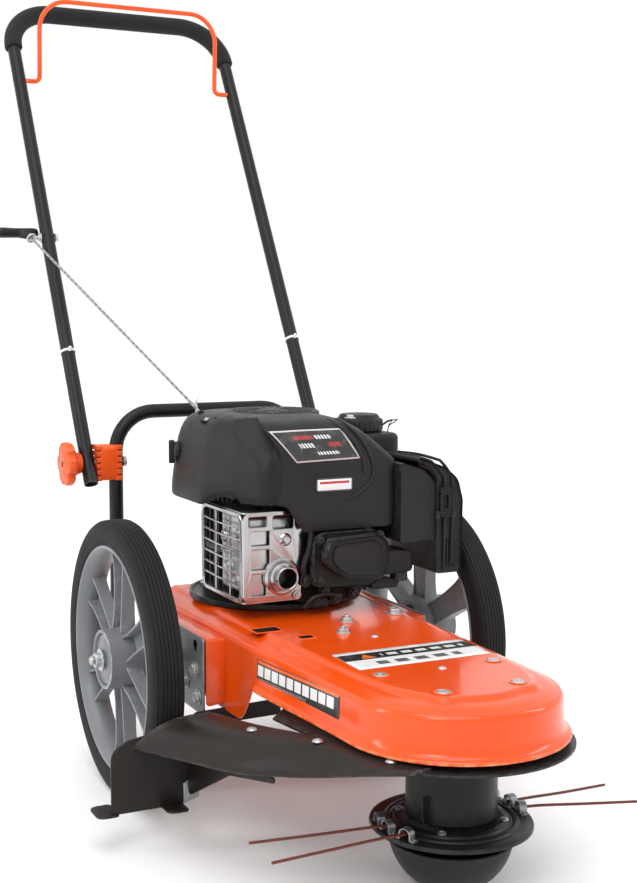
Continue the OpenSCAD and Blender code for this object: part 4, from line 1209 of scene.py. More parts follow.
def cut_plate(outlines, half, bevel, lift):
    """A plate over the first outline with the others cut out of it, its edges rolled. lift puts (u, v, depth)
    in 3D."""
    curve = bpy.data.curves.new("plate", "CURVE")
    curve.dimensions = "2D"
    curve.fill_mode = "BOTH"
    curve.extrude = half
    curve.bevel_depth = bevel
    curve.bevel_resolution = 2
    curve.offset = -bevel
    for outline in outlines:
        spline = curve.splines.new("POLY")
        spline.points.add(len(outline) - 1)
        for point, (u, v) in zip(spline.points, outline):
            point.co = (u, v, 0, 1)
        spline.use_cyclic_u = True
    holder = bpy.data.objects.new("plate", curve)
    mesh = holder.to_mesh()
    verts = [lift(*v.co) for v in mesh.vertices]
    faces = [tuple(p.vertices) for p in mesh.polygons]
    holder.to_mesh_clear()
    bpy.data.objects.remove(holder)
    bpy.data.curves.remove(curve)
    return verts, faces


def front_slab(outline, y0, y1, edge=1.2, steps=3):
    """A plate over an outline in x and z, from y0 forward to y1."""
    return slab(outline, y0, y1, lambda p, y: (p[0], y, p[1]), edge, steps)


def make_valve_cover():
    """Rocker cover with a raised face, its bolts, and the head's flange behind it."""
    flange = rounded([(-16, 292), (70, 288), (92, 300), (92, 352), (78, 365), (-2, 365), (-16, 350)], 10)
    body = rounded([(-8, 330), (0, 358), (74, 361), (86, 352), (90, 332), (80, 299), (28, 302), (4, 318)], 12)
    face = rounded([(4, 330), (9, 350), (68, 353), (77, 346), (80, 332), (72, 306), (30, 309), (12, 320)], 10)
    parts = [front_slab(flange, 332, 322, 1.8), front_slab(body, 323, 306.5, 4.0, 5),
             front_slab(face, 309, 304.6, 1.2)]
    piece("rocker_cover", *join(*parts), "dark_casting", "chassis", "dark_casting", ["valve_cover"],
          smooth=45)
    bolts = [hex_head((x, 322, z), 5.2, 5.5, "-y", washer=7) for x,
             z in ((-9, 357), (84, 357), (82, 304), (-9, 300))]
    piece("rocker_bolts", *join(*bolts), "dark_casting", "chassis", "dark_casting", smooth=28)


# Axis of the dipstick
DIPSTICK_AT = (60, 632, 0)


def make_engine_core():
    """Ribbed crankcase, finned cylinder and the small gear around them."""
    rounded_copy("crankcase", "dark_casting", 2.0)
    rounded_copy("cylinder", "dark_casting", 0.6)
    ribs = []
    for k in range(9):
        x = -64 + 16 * k
        ribs.append(block((x - 1.6, 440.5, 262), (x + 1.6, 446.0, 392)))
        ribs.append(block((x - 1.6, 564.0, 262), (x + 1.6, 569.5, 392)))
    for k in range(7):
        y = 457 + 16 * k
        ribs.append(block((-79.5, y - 1.6, 262), (-74.0, y + 1.6, 398)))
        ribs.append(block((74.0, y - 1.6, 262), (79.5, y + 1.6, 398)))
    flange = rounded([(-82, 438), (82, 438), (82, 572), (-82, 572)], 20)
    for low, high in ((PLATE_TOP, PLATE_TOP + 9), (318, 326)):
        ribs.append(slab(flange, low, high, edge=1.5))
    piece("crankcase_ribs", *join(*ribs), "dark_casting", "chassis", "dark_casting", smooth=30, bevel=0.5)
    manifold = [front_slab(rounded([(92, 299), (141, 301), (142, 330), (92, 334)], 7), 372, 331, 3.0, 4),
                front_slab(rounded([(73, 281), (114, 281), (118, 291), (76, 296)], 4), 352, 326, 2.0),
                block((118, 336, 286), (138, 352, 300))]
    piece("intake_housing", *join(*manifold), "dark_casting", "chassis", "dark_casting", smooth=40, bevel=0.8)
    lever = [tube(smooth_path([(-22, 338, 300), (-26, 334, 320), (-18, 333, 345), (-14, 336, 366)], 6), 4.0,
                  12),
             tube(smooth_path([(-24, 336, 262), (-14, 330, 276), (6, 330, 280), (30, 333, 276)], 6), 3.0, 12),
             front_slab(rounded([(-30, 268), (64, 268), (70, 282), (-26, 286)], 5), 372, 346, 2.0)]
    for x, z in ((-22, 300), (6, 284), (-6, 270), (24, 272), (52, 276)):
        lever.append(hex_head((x, 336, z), 6.0, 5.0, "-y", washer=8.5))
    piece("head_hardware", *join(*lever), "dark_casting", "chassis", "dark_casting", smooth=32)
    rounded_copy("carburettor", "cast_alloy", 1.0)
    rounded_copy("spark_plug", "black_plastic", 0.5)
    rounded_copy("oil_filler", "black_plastic", 0.8)
    dip = [(0, 315), (2.5, 315), (2.5, 400.6), (13.0, 400.6), (15.0, 402.4), (15.0, 408.5), (13.4, 411.2),
           (9, 412.2), (0, 412.2)]
    wings = slab(rounded([(-12, -3), (12, -3), (12, 3), (-12, 3)], 2.5), 409, 418, edge=1.5)
    piece("dipstick_cap", *join(revolve(dip, DIPSTICK_AT, steps=40, closed=False),
                                moved(wings, DIPSTICK_AT)),
          "yellow_plastic", "oil_dipstick", "yellow_plastic", ["oil_dipstick"], smooth=35)


def make_engine_plate():
    """Round mounting ring with a folded rim."""
    profile = [(26, 0.1), (26, 4.6), (27, 5.0), (112, 5.0), (115.5, 6.2), (117, 8.6), (118.2, 9.1),
               (120.6, 8.9), (121, 8.0), (121, 1.6), (119.8, 0.1)]
    piece("engine_ring", *revolve(profile, (0, ENGINE_Y, DECK_TOP), steps=120), "black_paint", "chassis",
          "black_paint", ["engine_plate"], smooth=35)


def make_filter():
    """Air cleaner: inner case, ribbed cover with its seam bands running over the top, and the spring clip."""
    case = rounded([(112.6, 345), (168, 345), (168, 428), (150, 446), (112.6, 457)], [5, 4, 18, 24, 5])
    piece("filter_case", *front_slab(case, 430, 317, 4.0, 4), "shroud_black", "chassis", "black_plastic",
          ["filter_base"], smooth=42)
    lid = rounded([(168.3, 298), (205, 298), (209, 306), (211, 400), (203, 430), (183, 447), (140, 463),
                   (138, 456), (156, 449), (168.3, 436)], [4, 6, 8, 24, 26, 26, 3, 3, 14, 14])
    parts = [front_slab(lid, 431, 315.5, 6.0, 5)]
    for edge, drop in ((171.0, 0.0), (183.5, 0.0), (196.0, 8.0)):
        grow = edge - 168
        band = smooth_path([(edge, 314.8, 302 + drop), (edge, 313.8, 360), (edge, 313.8, 424),
                            (edge - 6, 314.2, 440), (edge - 18, 315.2, 449 + 0.2 * grow),
                            (edge - 22, 322, 455 + 0.1 * grow), (edge - 22, 372, 457 + 0.1 * grow),
                            (edge - 22, 426, 455 + 0.1 * grow)], 8)
        parts.append(tube(band, 2.2, 12))
    for k in range(3):
        parts.append(front_slab(rounded([(188 + 5 * k, 306), (190.4 + 5 * k, 306), (190.4 + 5 * k, 346),
                                         (188 + 5 * k, 346)], 1.0), 318, 314.0, 0.6))
    latch_low, latch_high = corner("filter_latch")
    for x0, x1 in ((latch_low.x - 3.5, latch_low.x + 2.6), (latch_high.x - 2.6, latch_high.x + 3.5)):
        parts.append(block((x0, 308.5, 376), (x1, 318, 386)))
    piece("filter_lid", *join(*parts), "shroud_black", "chassis", "black_plastic", ["filter_cover"],
          smooth=42)
    pleats = []
    for k in range(24):
        pleats.append(block((128, 336 + 3.4 * k, 352), (166 + 2 * (k % 2), 338.0 + 3.4 * k, 425)))
    piece("filter_pleats", *join(*pleats), "filter_paper", "chassis", "filter_paper", ["filter_element"])
    x0, x1 = latch_low.x + 3.5, latch_high.x - 3.5
    clip_outline = rounded([(x0, 377), (x1, 377), (x1, 419), (x0, 419)], 3)
    window = rounded([(x0 + 5, 389), (x1 - 5, 389), (x1 - 5, 408), (x0 + 5, 408)], 2)
    flat = lambda u, v, d: (u, 310.6 - d, v)
    clip = [cut_plate([clip_outline, window], 1.2, 0.7, flat),
            front_slab(rounded([(x0 - 2, 411), (x1 + 2, 411), (x1 + 2, 417), (x0 - 2, 417)], 2), 311.5, 306.6,
                       1.2),
            front_slab(rounded([(x0 - 2, 381), (x1 + 2, 381), (x1 + 2, 386), (x0 - 2, 386)], 2), 311.5, 307.2,
                       1.2),
            tube([(x0 - 1.5, 312, 381), (x1 + 1.5, 312, 381)], 2.4, 16)]
    piece("filter_clip", *join(*clip), "black_plastic", "filter_latch", "black_plastic", ["filter_latch"],
          smooth=40)


# Axis of the fuel cap
FUEL_CAP_AT = (146, 497, 0)


def make_tank():
    """Fuel tank with its moulded seam, the cap and its two thin wire loops."""
    plan = rounded([(112.6, 436), (186, 436), (186, 560), (112.6, 560)], 20)
    seam = rounded([(111.9, 434.4), (187.6, 434.4), (187.6, 561.6), (111.9, 561.6)], 21)
    neck = revolve([(20, 470), (20, 492), (21, 492.6), (23, 492.6), (24, 492), (24, 483), (20, 483)],
                   FUEL_CAP_AT, steps=48)
    parts = [slab(plan, 408, 484, edge=8.0, steps=6), slab(seam, 444, 447.5, edge=1.2), neck]
    piece("tank_shell", *join(*parts), "black_plastic", "chassis", "black_plastic", ["fuel_tank"], smooth=40)
    profile = [(25, 485), (34.6, 485), (35.8, 486.4), (35.8, 500.5), (34.8, 502.5), (31.5, 504.0),
               (30, 506.5), (28.5, 509.2), (26, 510), (0, 510)]
    cap = [revolve(profile, FUEL_CAP_AT, steps=96, closed=False)]
    for k in range(28):
        a = math.tau * k / 28
        grip = slab(rounded([(34.2, -1.7), (36.2, -1.5), (36.2, 1.5), (34.2, 1.7)], 0.8, 3), 487, 501,
                    edge=0.7)
        cap.append(moved(grip, FUEL_CAP_AT, Matrix.Rotation(a, 3, "Z")))
    cap.append(revolve([(12, 509.6), (14, 510.4), (16, 509.6)], FUEL_CAP_AT, steps=48))
    piece("fuel_cap_shell", *join(*cap), "black_plastic", "fuel_cap", "black_plastic", ["fuel_cap"],
          smooth=38)
    for i, (reach, drop) in enumerate(((20.0, 33.0), (11.0, 36.0))):
        loop = [(172, 476, 491), (172 + reach * 0.5, 470, 499), (172 + reach, 462, 502),
                (172 + reach * 0.7, 459, 499), (175.5, 460, 490), (174, 461, 491 - drop),
                (170, 466, 491 - drop + 6)]
        piece(f"tank_wire_{i + 1}", *tube(smooth_path(loop, 8), 0.8, 8), "black_plastic", "chassis",
              "black_plastic", smooth=60)


def make_fuel_valve():
    """Fuel valve knob on the shroud's left, with its pointer, and the boss under it."""
    turn = math.radians(159)
    out = Vector((math.cos(turn), math.sin(turn), 0))
    side = Vector((-out.y, out.x, 0))
    start = Vector((-25.6, 512, 460))
    facing = Matrix((side, (0, 0, 1), out)).transposed()
    knob = revolve([(0, 102.6), (14.6, 102.6), (15.2, 103.6), (15.0, 108.4), (13.2, 110.6), (0, 111.4)],
                   (0, 0, 0), steps=48, closed=False)
    pointer = slab(rounded([(-3.6, -17), (3.6, -17), (5.4, 17), (-5.4, 17)], 3), 110, 118.4, edge=1.8)
    stem = revolve([(0, 90), (5.4, 90), (5.4, 103)], (0, 0, 0), steps=24, closed=False)
    parts = [moved(part, start, facing) for part in (knob, pointer, stem)]
    piece("fuel_valve_grip", *join(*parts), "black_plastic", "fuel_valve_knob", "black_plastic",
          ["fuel_valve_knob"], smooth=36)
    boss = revolve([(7.0, 92), (14.0, 92), (14.0, 101.0), (13.2, 101.8), (7.0, 101.8)], (0, 0, 0), steps=40)
    piece("fuel_valve_boss", *moved(boss, start, facing), "shroud_black", "chassis", "black_paint", smooth=36)


# ---- Trimmer head ----
def make_head():
    """Spindle housing, string plate with its ridges, cleats, lines and the ground dome."""
    z = STRING_Z
    top = corner("spindle_housing")[1].z
    housing = [(21, 88), (50.5, 88), (53, 90.5), (53, 168), (55.0, 171.0), (58.0, top - 1.2), (57.0, top),
               (21, top)]
    piece("housing_shell", *revolve(housing, (0, 0, 0), steps=96), "black_paint", "chassis", "black_paint",
          ["spindle_housing"], smooth=30)
    a = math.radians(207)
    slot_mid = Vector((53.2 * math.cos(a), 53.2 * math.sin(a), 106))
    turn = Matrix.Rotation(a, 3, "Z")
    # Painted shade: a near-black sheet stands for the dark opening of the slot
    mouth = slab(rounded([(-4, -15), (4, -15), (4, 15), (-4, 15)], 3.8), -1.0, 0.6, lambda p,
                 h: (h, p[0], p[1]), 0.5)
    piece("housing_slot", *moved(mouth, slot_mid, turn), "slot_black", "chassis", "black_plastic", smooth=40)
    outline = rounded([(-5.2, -16.2), (5.2, -16.2), (5.2, 16.2), (-5.2, 16.2)], 5)
    path = [(0.4, p[0], p[1]) for p in outline + outline[:1]]
    rim = moved(tube(path, 0.9, 8), slot_mid, turn)
    piece("housing_slot_rim", *rim, "black_paint", "chassis", "black_paint", smooth=50)

    plate = [(10.0, z - 8), (23.5, z - 8), (24.5, z - 7), (24.5, z - 0.4), (92.5, z), (94.8, z + 1.2),
             (95.0, z + 3.5), (94.0, z + 5.6), (90.5, z + 6.4), (84, z + 6.0), (79.0, z + 6.2),
             (77.4, z + 8.2), (74.6, z + 9.2), (71.4, z + 8.6), (70.2, z + 7.2), (68.4, z + 7.4),
             (66.6, z + 9.8), (63.5, z + 10.6), (56, z + 10.5), (54, z + 9.6), (10.0, z + 9.6)]
    piece("line_plate", *revolve(plate, (0, 0, 0), steps=128), "black_paint", "trimmer_head", "black_paint",
          ["string_plate"], smooth=28)

    cleats = []
    for base in (0, 180):
        for a in (167, 183, 203):
            arch = []
            for k in range(15):
                b = math.pi * k / 14
                arch.append((6.4 * math.cos(b), 5.2 + 7.6 * math.sin(b) ** 0.8))
            outline = [(12.5, 0.0), (12.5, 1.9), (7.9, 2.4)]
            outline += [(x * 1.24, y * 1.02 + 0.6) for x, y in arch]
            outline += [(-7.9, 2.4), (-12.5, 1.9), (-12.5, 0.0), (-6.4, 0.6)]
            outline += arch[::-1] + [(6.4, 0.6)]
            ring = lambda d, o=outline: [(p[0], d, p[1]) for p in o]
            strap = loft([ring(-4.6), ring(-4.0), ring(4.0), ring(4.6)])
            turn = Matrix.Rotation(math.radians(base + a + 90), 3, "Z")
            at = Vector((86 * math.cos(math.radians(base + a)), 86 * math.sin(math.radians(base + a)), z + 6))
            cleats.append(moved(strap, at, turn))
            for s in (-1, 1):
                cleats.append(moved(hex_head((s * 10.5, 0, 1.6), 2.6, 1.2), at, turn))
    piece("line_straps", *join(*cleats), "galvanised", "trimmer_head", "zinc", ["line_cleats"], smooth=38)
    screws = []
    for k in range(4):
        b = math.radians(48 + 90 * k)
        at = (61 * math.cos(b), 61 * math.sin(b), z + 10.4)
        screws.append(revolve([(0, 0), (5.2, 0), (5.2, 1.2), (3.8, 2.4), (2.4, 2.6), (2.2, 1.2), (0, 1.2)],
                              at, steps=24, closed=False))
    piece("line_plate_screws", *join(*screws), "zinc", "trimmer_head", "zinc", smooth=38)

    lines = []
    for path in ([(-240, 35, 80), (-165, 18.5, 82.6), (-110, 4.0, 86.2), (-80, -3, 86.8)],
                 [(-239, -23, 79), (-165, -25, 82.2), (-110, -29.5, 86.0), (-78, -32.5, 86.6)],
                 [(229, 10, 82), (165, 7.5, 83.4), (110, 4.5, 86.2), (80, 3.2, 86.8)],
                 [(231, -48, 80), (165, -32.5, 82.6), (110, -22, 86.0), (82, -18.5, 86.6)]):
        lines.append(tube(smooth_path(path, 10), 1.7, 12))
    piece("cutting_lines", *join(*lines), "line_nylon", "trimmer_head", "line_nylon", ["trimmer_lines"],
          smooth=50)

    bottom = corner("ground_dome")[0].z
    dome_r = 73.0
    ball_z = 70.3
    profile = []
    for k in range(26):
        a = math.radians(2 + 78 * k / 25)
        profile.append((dome_r * math.sin(a), ball_z - dome_r * math.cos(a)))
    rim_r, rim_z = profile[-1]
    profile += [(rim_r + 1.6, rim_z + 0.6), (rim_r + 2.2, rim_z + 2.0), (rim_r + 1.4, rim_z + 3.4),
                (rim_r - 1.6, rim_z + 3.6)]
    for k in range(14):
        a = math.radians(78 - 60 * k / 13)
        profile.append(((dome_r - 4) * math.sin(a), ball_z - (dome_r - 4) * math.cos(a)))
    profile = [(r, max(h, bottom + 0.05)) for r, h in profile]
    profile += [(19.0, 8), (19.0, 54.5), (17.8, 56), (10.1, 56), (10.1, 15.8), (0.0, 15.8)]
    piece("dome_shell", *revolve([(0.0, bottom + 0.05)] + profile, (0, 0, 0), steps=120, closed=False),
          "shroud_black", "ground_dome", "black_plastic", ["ground_dome"], smooth=35)


def make_deflector():
    """Moulded debris flap: sloping sheet, standing panel with foot tabs, brace, gusset, tag and rivets."""
    inner = [(-84, -94, 182.6), (-104, -62, 182.6), (-122, -10, 182.6), (-134, 40, 181.6), (-155, 92, 178),
             (-176, 160, 171), (-196, 254, 163)]
    fold = [(-97, -97, 182.8), (-122, -74, 182.8), (-144, -26, 182.6), (-165, 22, 181), (-186, 72, 177.6),
            (-206, 124, 173), (-246, 255, 160)]
    edge = [(-110, -99, 181), (-152, -59, 174), (-179, -6, 160), (-210, 57, 147), (-236, 100, 142),
            (-262, 166, 138), (-301, 255, 133)]
    skirt = [(-110, -99, 172), (-152, -59, 158), (-179, -6, 140), (-209, 57, 124), (-235, 100, 116),
             (-261, 166, 108), (-300, 255, 100)]
    curves = [smooth_path(c, 6) for c in (inner, fold, edge, skirt)]
    steps = 6

    def between(a, b, t, lift):
        return a + (b - a) * t + Vector((0, 0, lift * math.sin(math.pi * t)))

    strips = []
    for a, b, c, d in zip(*curves):
        row = []
        for k in range(steps):
            row.append(between(a, b, k / steps, 1.2))
        for k in range(steps):
            row.append(between(b, c, k / steps, 3.0))
        for k in range(5):
            t = k / 4
            bend = Vector((-1.2, 0, 0)) * math.sin(math.pi * t)
            row.append(c + (d - c) * (t ** 1.4) * 0.12 + bend)
        strips.append(row)
    piece("flap_sheet", [tuple(p) for row in strips for p in row], grid_faces(len(strips), len(strips[0])),
          "deflector", "chassis", "deflector", ["debris_deflector"], smooth=50, solid=2.6)

    panel = rounded([(-327, 49), (-327, 128), (-306, 140), (-262, 147), (-226, 158), (-196, 164), (-196, 120),
                     (-224, 60), (-232, 49)], [4, 22, 16, 10, 10, 4, 8, 14, 6], 8)
    standing = slab(panel, 253.4, 257.4, lambda p, y: (p[0], y, p[1]), 1.2)
    pads = []
    for x, z, near, far in ((-332, 47, 250, 292), (-250, 49, 226, 266)):
        tab = rounded([(x - 13, near), (x - 13, far), (x + 15, far), (x + 15, near)], [12, 12, 6, 6], 8)
        pads.append(slab(tab, z, z + 3.0, edge=1.2))
    brace = rounded([(250, 60), (250, 150), (160, 146), (52, 142), (52, 136), (150, 116)],
                    [6, 4, 20, 3, 3, 30], 6)
    wall = slab(brace, 0, 2.6, lambda p, d: (-228 + (250 - p[0]) * 0.13 + d, p[0], p[1]), 0.8)
    tag = slab(rounded([(-234, 50), (-213, 57), (-213, 89), (-234, 77)], 1.5), 250.6, 253.2,
               lambda p, y: (p[0], y, p[1]), 0.5)
    gusset = slab(rounded([(-186, 118), (-186, 138), (-60, 142), (-60, 120)], 4), 334, 337,
                  lambda p, y: (p[0], y, p[1]), 1.0)
    piece("flap_panel", *join(standing, *pads, wall, gusset), "deflector", "chassis", "deflector", smooth=36)
    piece("flap_tag", *tag, "galvanised", "chassis", "zinc", smooth=36)

    heads = []
    for x, y, z in ((-116, -62, 184.2), (-155, 36, 183.0), (-194, 130, 174.6)):
        heads.append(revolve([(0, 0), (6.4, 0), (6.6, 0.8), (5.4, 2.2), (3.0, 3.2), (0, 3.5)], (x, y, z),
                             steps=28, closed=False))
    piece("flap_rivets", *join(*heads), "zinc", "chassis", "zinc", smooth=50)


# ---- Frame and handle ----
def make_side_plates():
    """Galvanised side plates with a keyhole slot and four bolts, and the deck ears that fold over them."""
    for side in (-1, 1):
        name = "left" if side < 0 else "right"
        high = 231.0
        low = 130.0 if side < 0 else 141.0
        outline = rounded([(340, low), (575, low), (575, high - 16), (556, high + 3), (340, high + 3)],
                          [8, 8, 10, 10, 8])
        put = lambda p, d, s=side: (s * (168 + d), p[0], p[1])
        top = slab(rounded([(338, 138), (578, 138), (578, 167.6), (338, 167.6)], [2, 2, 5, 5]), high - 3,
                   high + 1.6, lambda p, z, s=side: (s * p[1], p[0], z), 1.6)
        face = slab(rounded([(138, 146), (167.6, 142), (167.6, high), (138, high)], [2, 6, 5, 2]), 336.4,
                    339.4, lambda p, y, s=side: (s * p[0], y, p[1]), 1.0)
        piece(f"deck_ear_{name}", *join(top, face), "deck_orange", "chassis", "deck_orange", smooth=40)
        plate = slab(outline, 0, 3.0, put, 0.9)
        piece(f"side_plate_{name}", *plate, "galvanised", "chassis", "zinc", smooth=36)
        # Painted shade: near-black sheets on the plate stand for the dark opening of the keyhole slot
        holes = [slab(rounded([(363, 212), (371, 212), (371, 226), (363, 226)], 3.9), 2.9, 3.25, put, 0.1),
                 slab(rounded([(361, 217), (373, 217), (373, 227), (361, 227)], 4.8), 2.9, 3.25, put, 0.1)]
        piece(f"side_plate_holes_{name}", *join(*holes), "slot_black", "chassis", "black_plastic", smooth=36)
        bolts = [hex_head((side * 171.2, y, z), 8.2, 4.8, "x" if side > 0 else "-x", washer=11)
                 for y, z in ((400, 163), (545, 163), (366, 187), (356, 152))]
        piece(f"side_plate_bolts_{name}", *join(*bolts), "zinc", "chassis", "zinc", smooth=28)
    for holder in ("side_brackets", "frame_bolts"):
        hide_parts(holder)


def make_adjusters():
    """Orange clamp blocks with slits, and the lobed knobs."""
    for side in (-1, 1):
        name = "left" if side < 0 else "right"
        block_low = 151.0
        block_high = HANDLE_X - TUBE_R - 0.3
        outline = rounded([(-16.5, -28), (16.5, -28), (16.5, 28), (-16.5, 28)], 10)
        put = lambda p, d, s=side: (s * d, PIVOT.y + p[0], PIVOT.z + p[1])
        parts = [slab(outline, block_low + 8, block_high - 6, put, 1.2)]
        for k in range(6):
            z = -24.0 + 48.0 * k / 5
            for x0, x1 in ((block_low, block_low + 9.2), (block_high - 7.2, block_high)):
                fin = rounded([(-16.5, z - 3.7), (16.5, z - 3.7), (16.5, z + 3.7), (-16.5, z + 3.7)], 1.8)
                parts.append(slab(fin, x0, x1, put, 0.9))
        parts.append(slab(rounded([(-14, -22), (14, -22), (14, 22), (-14, 22)], 6), block_low + 4,
                          block_high - 4, put, 1))
        adjuster = piece(f"adjuster_{name}", *join(*parts), "orange_plastic", "chassis", "orange_plastic",
                         smooth=36)
        if side < 0:
            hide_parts("height_adjusters")
        outer = HANDLE_X + TUBE_R + 0.3
        lobes = 6
        rows = []
        for d, r in ((14.2, 31.0), (15.4, 33.2), (17.0, 34.0), (25.0, 34.0), (27.2, 33.0), (28.0, 30.8)):
            ring = []
            for i in range(160):
                a = math.tau * i / 160
                dip = smoothstep(0.50, 1.0, 0.5 + 0.5 * math.cos(lobes * a)) * 4.4
                rr = r - dip
                ring.append((side * (outer + d), PIVOT.y + rr * math.sin(a), PIVOT.z + rr * math.cos(a)))
            rows.append(ring)
        grip = loft(rows)
        hub = [(4.1, 0.2), (15.0, 0.2), (16.0, 1.2), (17.2, 6), (22.0, 12), (24.0, 15.0), (20, 15.4),
               (4.1, 15.4)]
        hub = revolve([(r, side * (outer + d)) for r, d in hub], (0, PIVOT.y, PIVOT.z), "x", 56)
        ring = [(6.0, 27.6), (6.2, 28.9), (9.4, 28.9), (10.2, 27.9)]
        ring = revolve([(r, side * (outer + d)) for r, d in ring], (0, PIVOT.y, PIVOT.z), "x", 48)
        piece(f"knob_{name}_grip", *join(grip, hub, ring), "orange_plastic", f"knob_{name}", "orange_plastic",
              [f"knob_{name}"], smooth=34)
        mouth = revolve([(0, side * (outer + 28.15)), (5.6, side * (outer + 28.15)),
                         (5.7, side * (outer + 27.6)), (0, side * (outer + 27.6))], (0, PIVOT.y, PIVOT.z),
                        "x", 32, False)
        piece(f"knob_{name}_hole", *mouth, "black_plastic", f"knob_{name}", "black_plastic", smooth=40)


def handle_path(side_x, radius, bottom, top):
    """Points along the handle: up one side, over the top and down the other."""
    points = []
    for s in (-1, 1):
        leg = [(s * side_x, bottom), (s * side_x, 0), (s * side_x, 250), (s * side_x, 500),
               (s * side_x, top - radius)]
        for k in range(1, 13):
            a = math.pi / 2 * k / 12
            leg.append((s * (side_x - radius + radius * math.cos(a)), top - radius + radius * math.sin(a)))
        points.append(leg)
    path = points[0] + [(-60, top), (60, top)] + points[1][::-1]
    return [on_handle(x, 0, t) for x, t in path]


def hollow_tube(points, outer, inner, sides):
    """A pipe with open ends."""
    skin, bore = tube(points, outer, sides)[0], tube(points, inner, sides)[0]
    count = len(skin) // sides
    ring = lambda source, i: source[i * sides:(i + 1) * sides]
    rings = [ring(skin, i) for i in range(count)] + [ring(bore, i) for i in reversed(range(count))]
    return [p for r in rings for p in r], grid_faces(len(rings), sides, closed_rows=True, closed_columns=True)


# The starter rope's eye, and how far up the handle its bracket is
ROPE_EYE = (-229, 944, 782)
GUIDE_AT = 410.6


def make_handle():
    """Handle tube, foam grip, two cable ties and the guide eye of the starter rope."""
    path = handle_path(HANDLE_X, 78, -36, 887)
    piece("handle_pipe", *hollow_tube(path, TUBE_R, TUBE_R - 1.5, 40), "black_paint", "handle", "black_paint",
          ["handle_tube"], smooth=50)
    grip_points = []
    for s in (-1, 1):
        leg = [(s * HANDLE_X, t) for t in (803, 806)]
        for k in range(0, 17):
            a = math.pi / 2 * k / 16
            leg.append((s * (HANDLE_X - 78 + 78 * math.cos(a)), 809 + 78 * math.sin(a)))
        grip_points.append(leg)
    line = grip_points[0] + [(x, 887) for x in (-95, -60, -30, 0, 30, 60, 95)] + grip_points[1][::-1]
    line = [on_handle(x, 0, t) for x, t in line]
    outer = lambda t: 15.5 - 1.6 * smoothstep(0.02, 0.0, t) - 1.6 * smoothstep(0.98, 1.0, t)
    grip = piece("foam_sleeve", *hollow_tube(line, outer, TUBE_R + 0.06, 48), "foam", "handle", "foam",
                 ["foam_grip"], smooth=60)

    ties = []
    for x, t in ((-HANDLE_X, 195), (HANDLE_X, 214)):
        ring = [on_handle(x + 12.0 * math.cos(a), 12.0 * math.sin(a), t)
                for a in (math.tau * k / 40 for k in range(41))]
        ties.append(tube(ring, 1.0, 8, 2.2))
        ties.append(tube([on_handle(x, 11.5, t - 3.2), on_handle(x, 14.2, t + 0.2),
                          on_handle(x, 16.6, t + 1.4)],
                         lambda s: 2.6 - 0.3 * s, 8))
        tail = smooth_path([on_handle(x, 14, t), on_handle(x - 2, 22, t - 3), on_handle(x - 7, 30, t - 10)],
                           6)
        ties.append(tube(tail, lambda s: 1.5 * (1 - 0.75 * s), 8, 0.5))
    piece("handle_ties", *join(*ties), "white_plastic", "handle", "white_plastic", ["cable_ties"], smooth=45)

    eye = Vector(ROPE_EYE)
    rope_dir = (eye - Vector((-105, 512, 514))).normalized()
    up = rope_dir.cross(Vector((1, 0, 0))).normalized()
    across = up.cross(rope_dir)
    ring = [eye + 7.0 * (math.cos(a) * up + math.sin(a) * across)
            for a in (math.tau * k / 40 for k in range(41))]
    stem = on_handle(-HANDLE_X, 0, GUIDE_AT)
    bracket = [tube(ring, 2.0, 12)]
    bracket.append(tube(smooth_path([Vector(on_handle(-185, 0, GUIDE_AT)), Vector(stem),
                                     Vector(on_handle(-221, 0, GUIDE_AT)), Vector(on_handle(-226, -3, 413))],
                                    5),
                        3.0, 14))
    bracket.append(hex_head(on_handle(-213.4, 0, GUIDE_AT), 6.0, 4.0, "-x", washer=8))
    bracket.append(hex_head(on_handle(-190.4, 0, GUIDE_AT), 6.0, 4.0, "x", washer=8))
    piece("guide_eye", *join(*bracket), "zinc", "handle", "zinc", ["rope_guide"], smooth=45)


# Lower frame tube: half width, height of its two runs and bend radius
FRAME_X, FRAME_LOW, FRAME_HIGH, FRAME_BEND = 156, 163, 505, 62


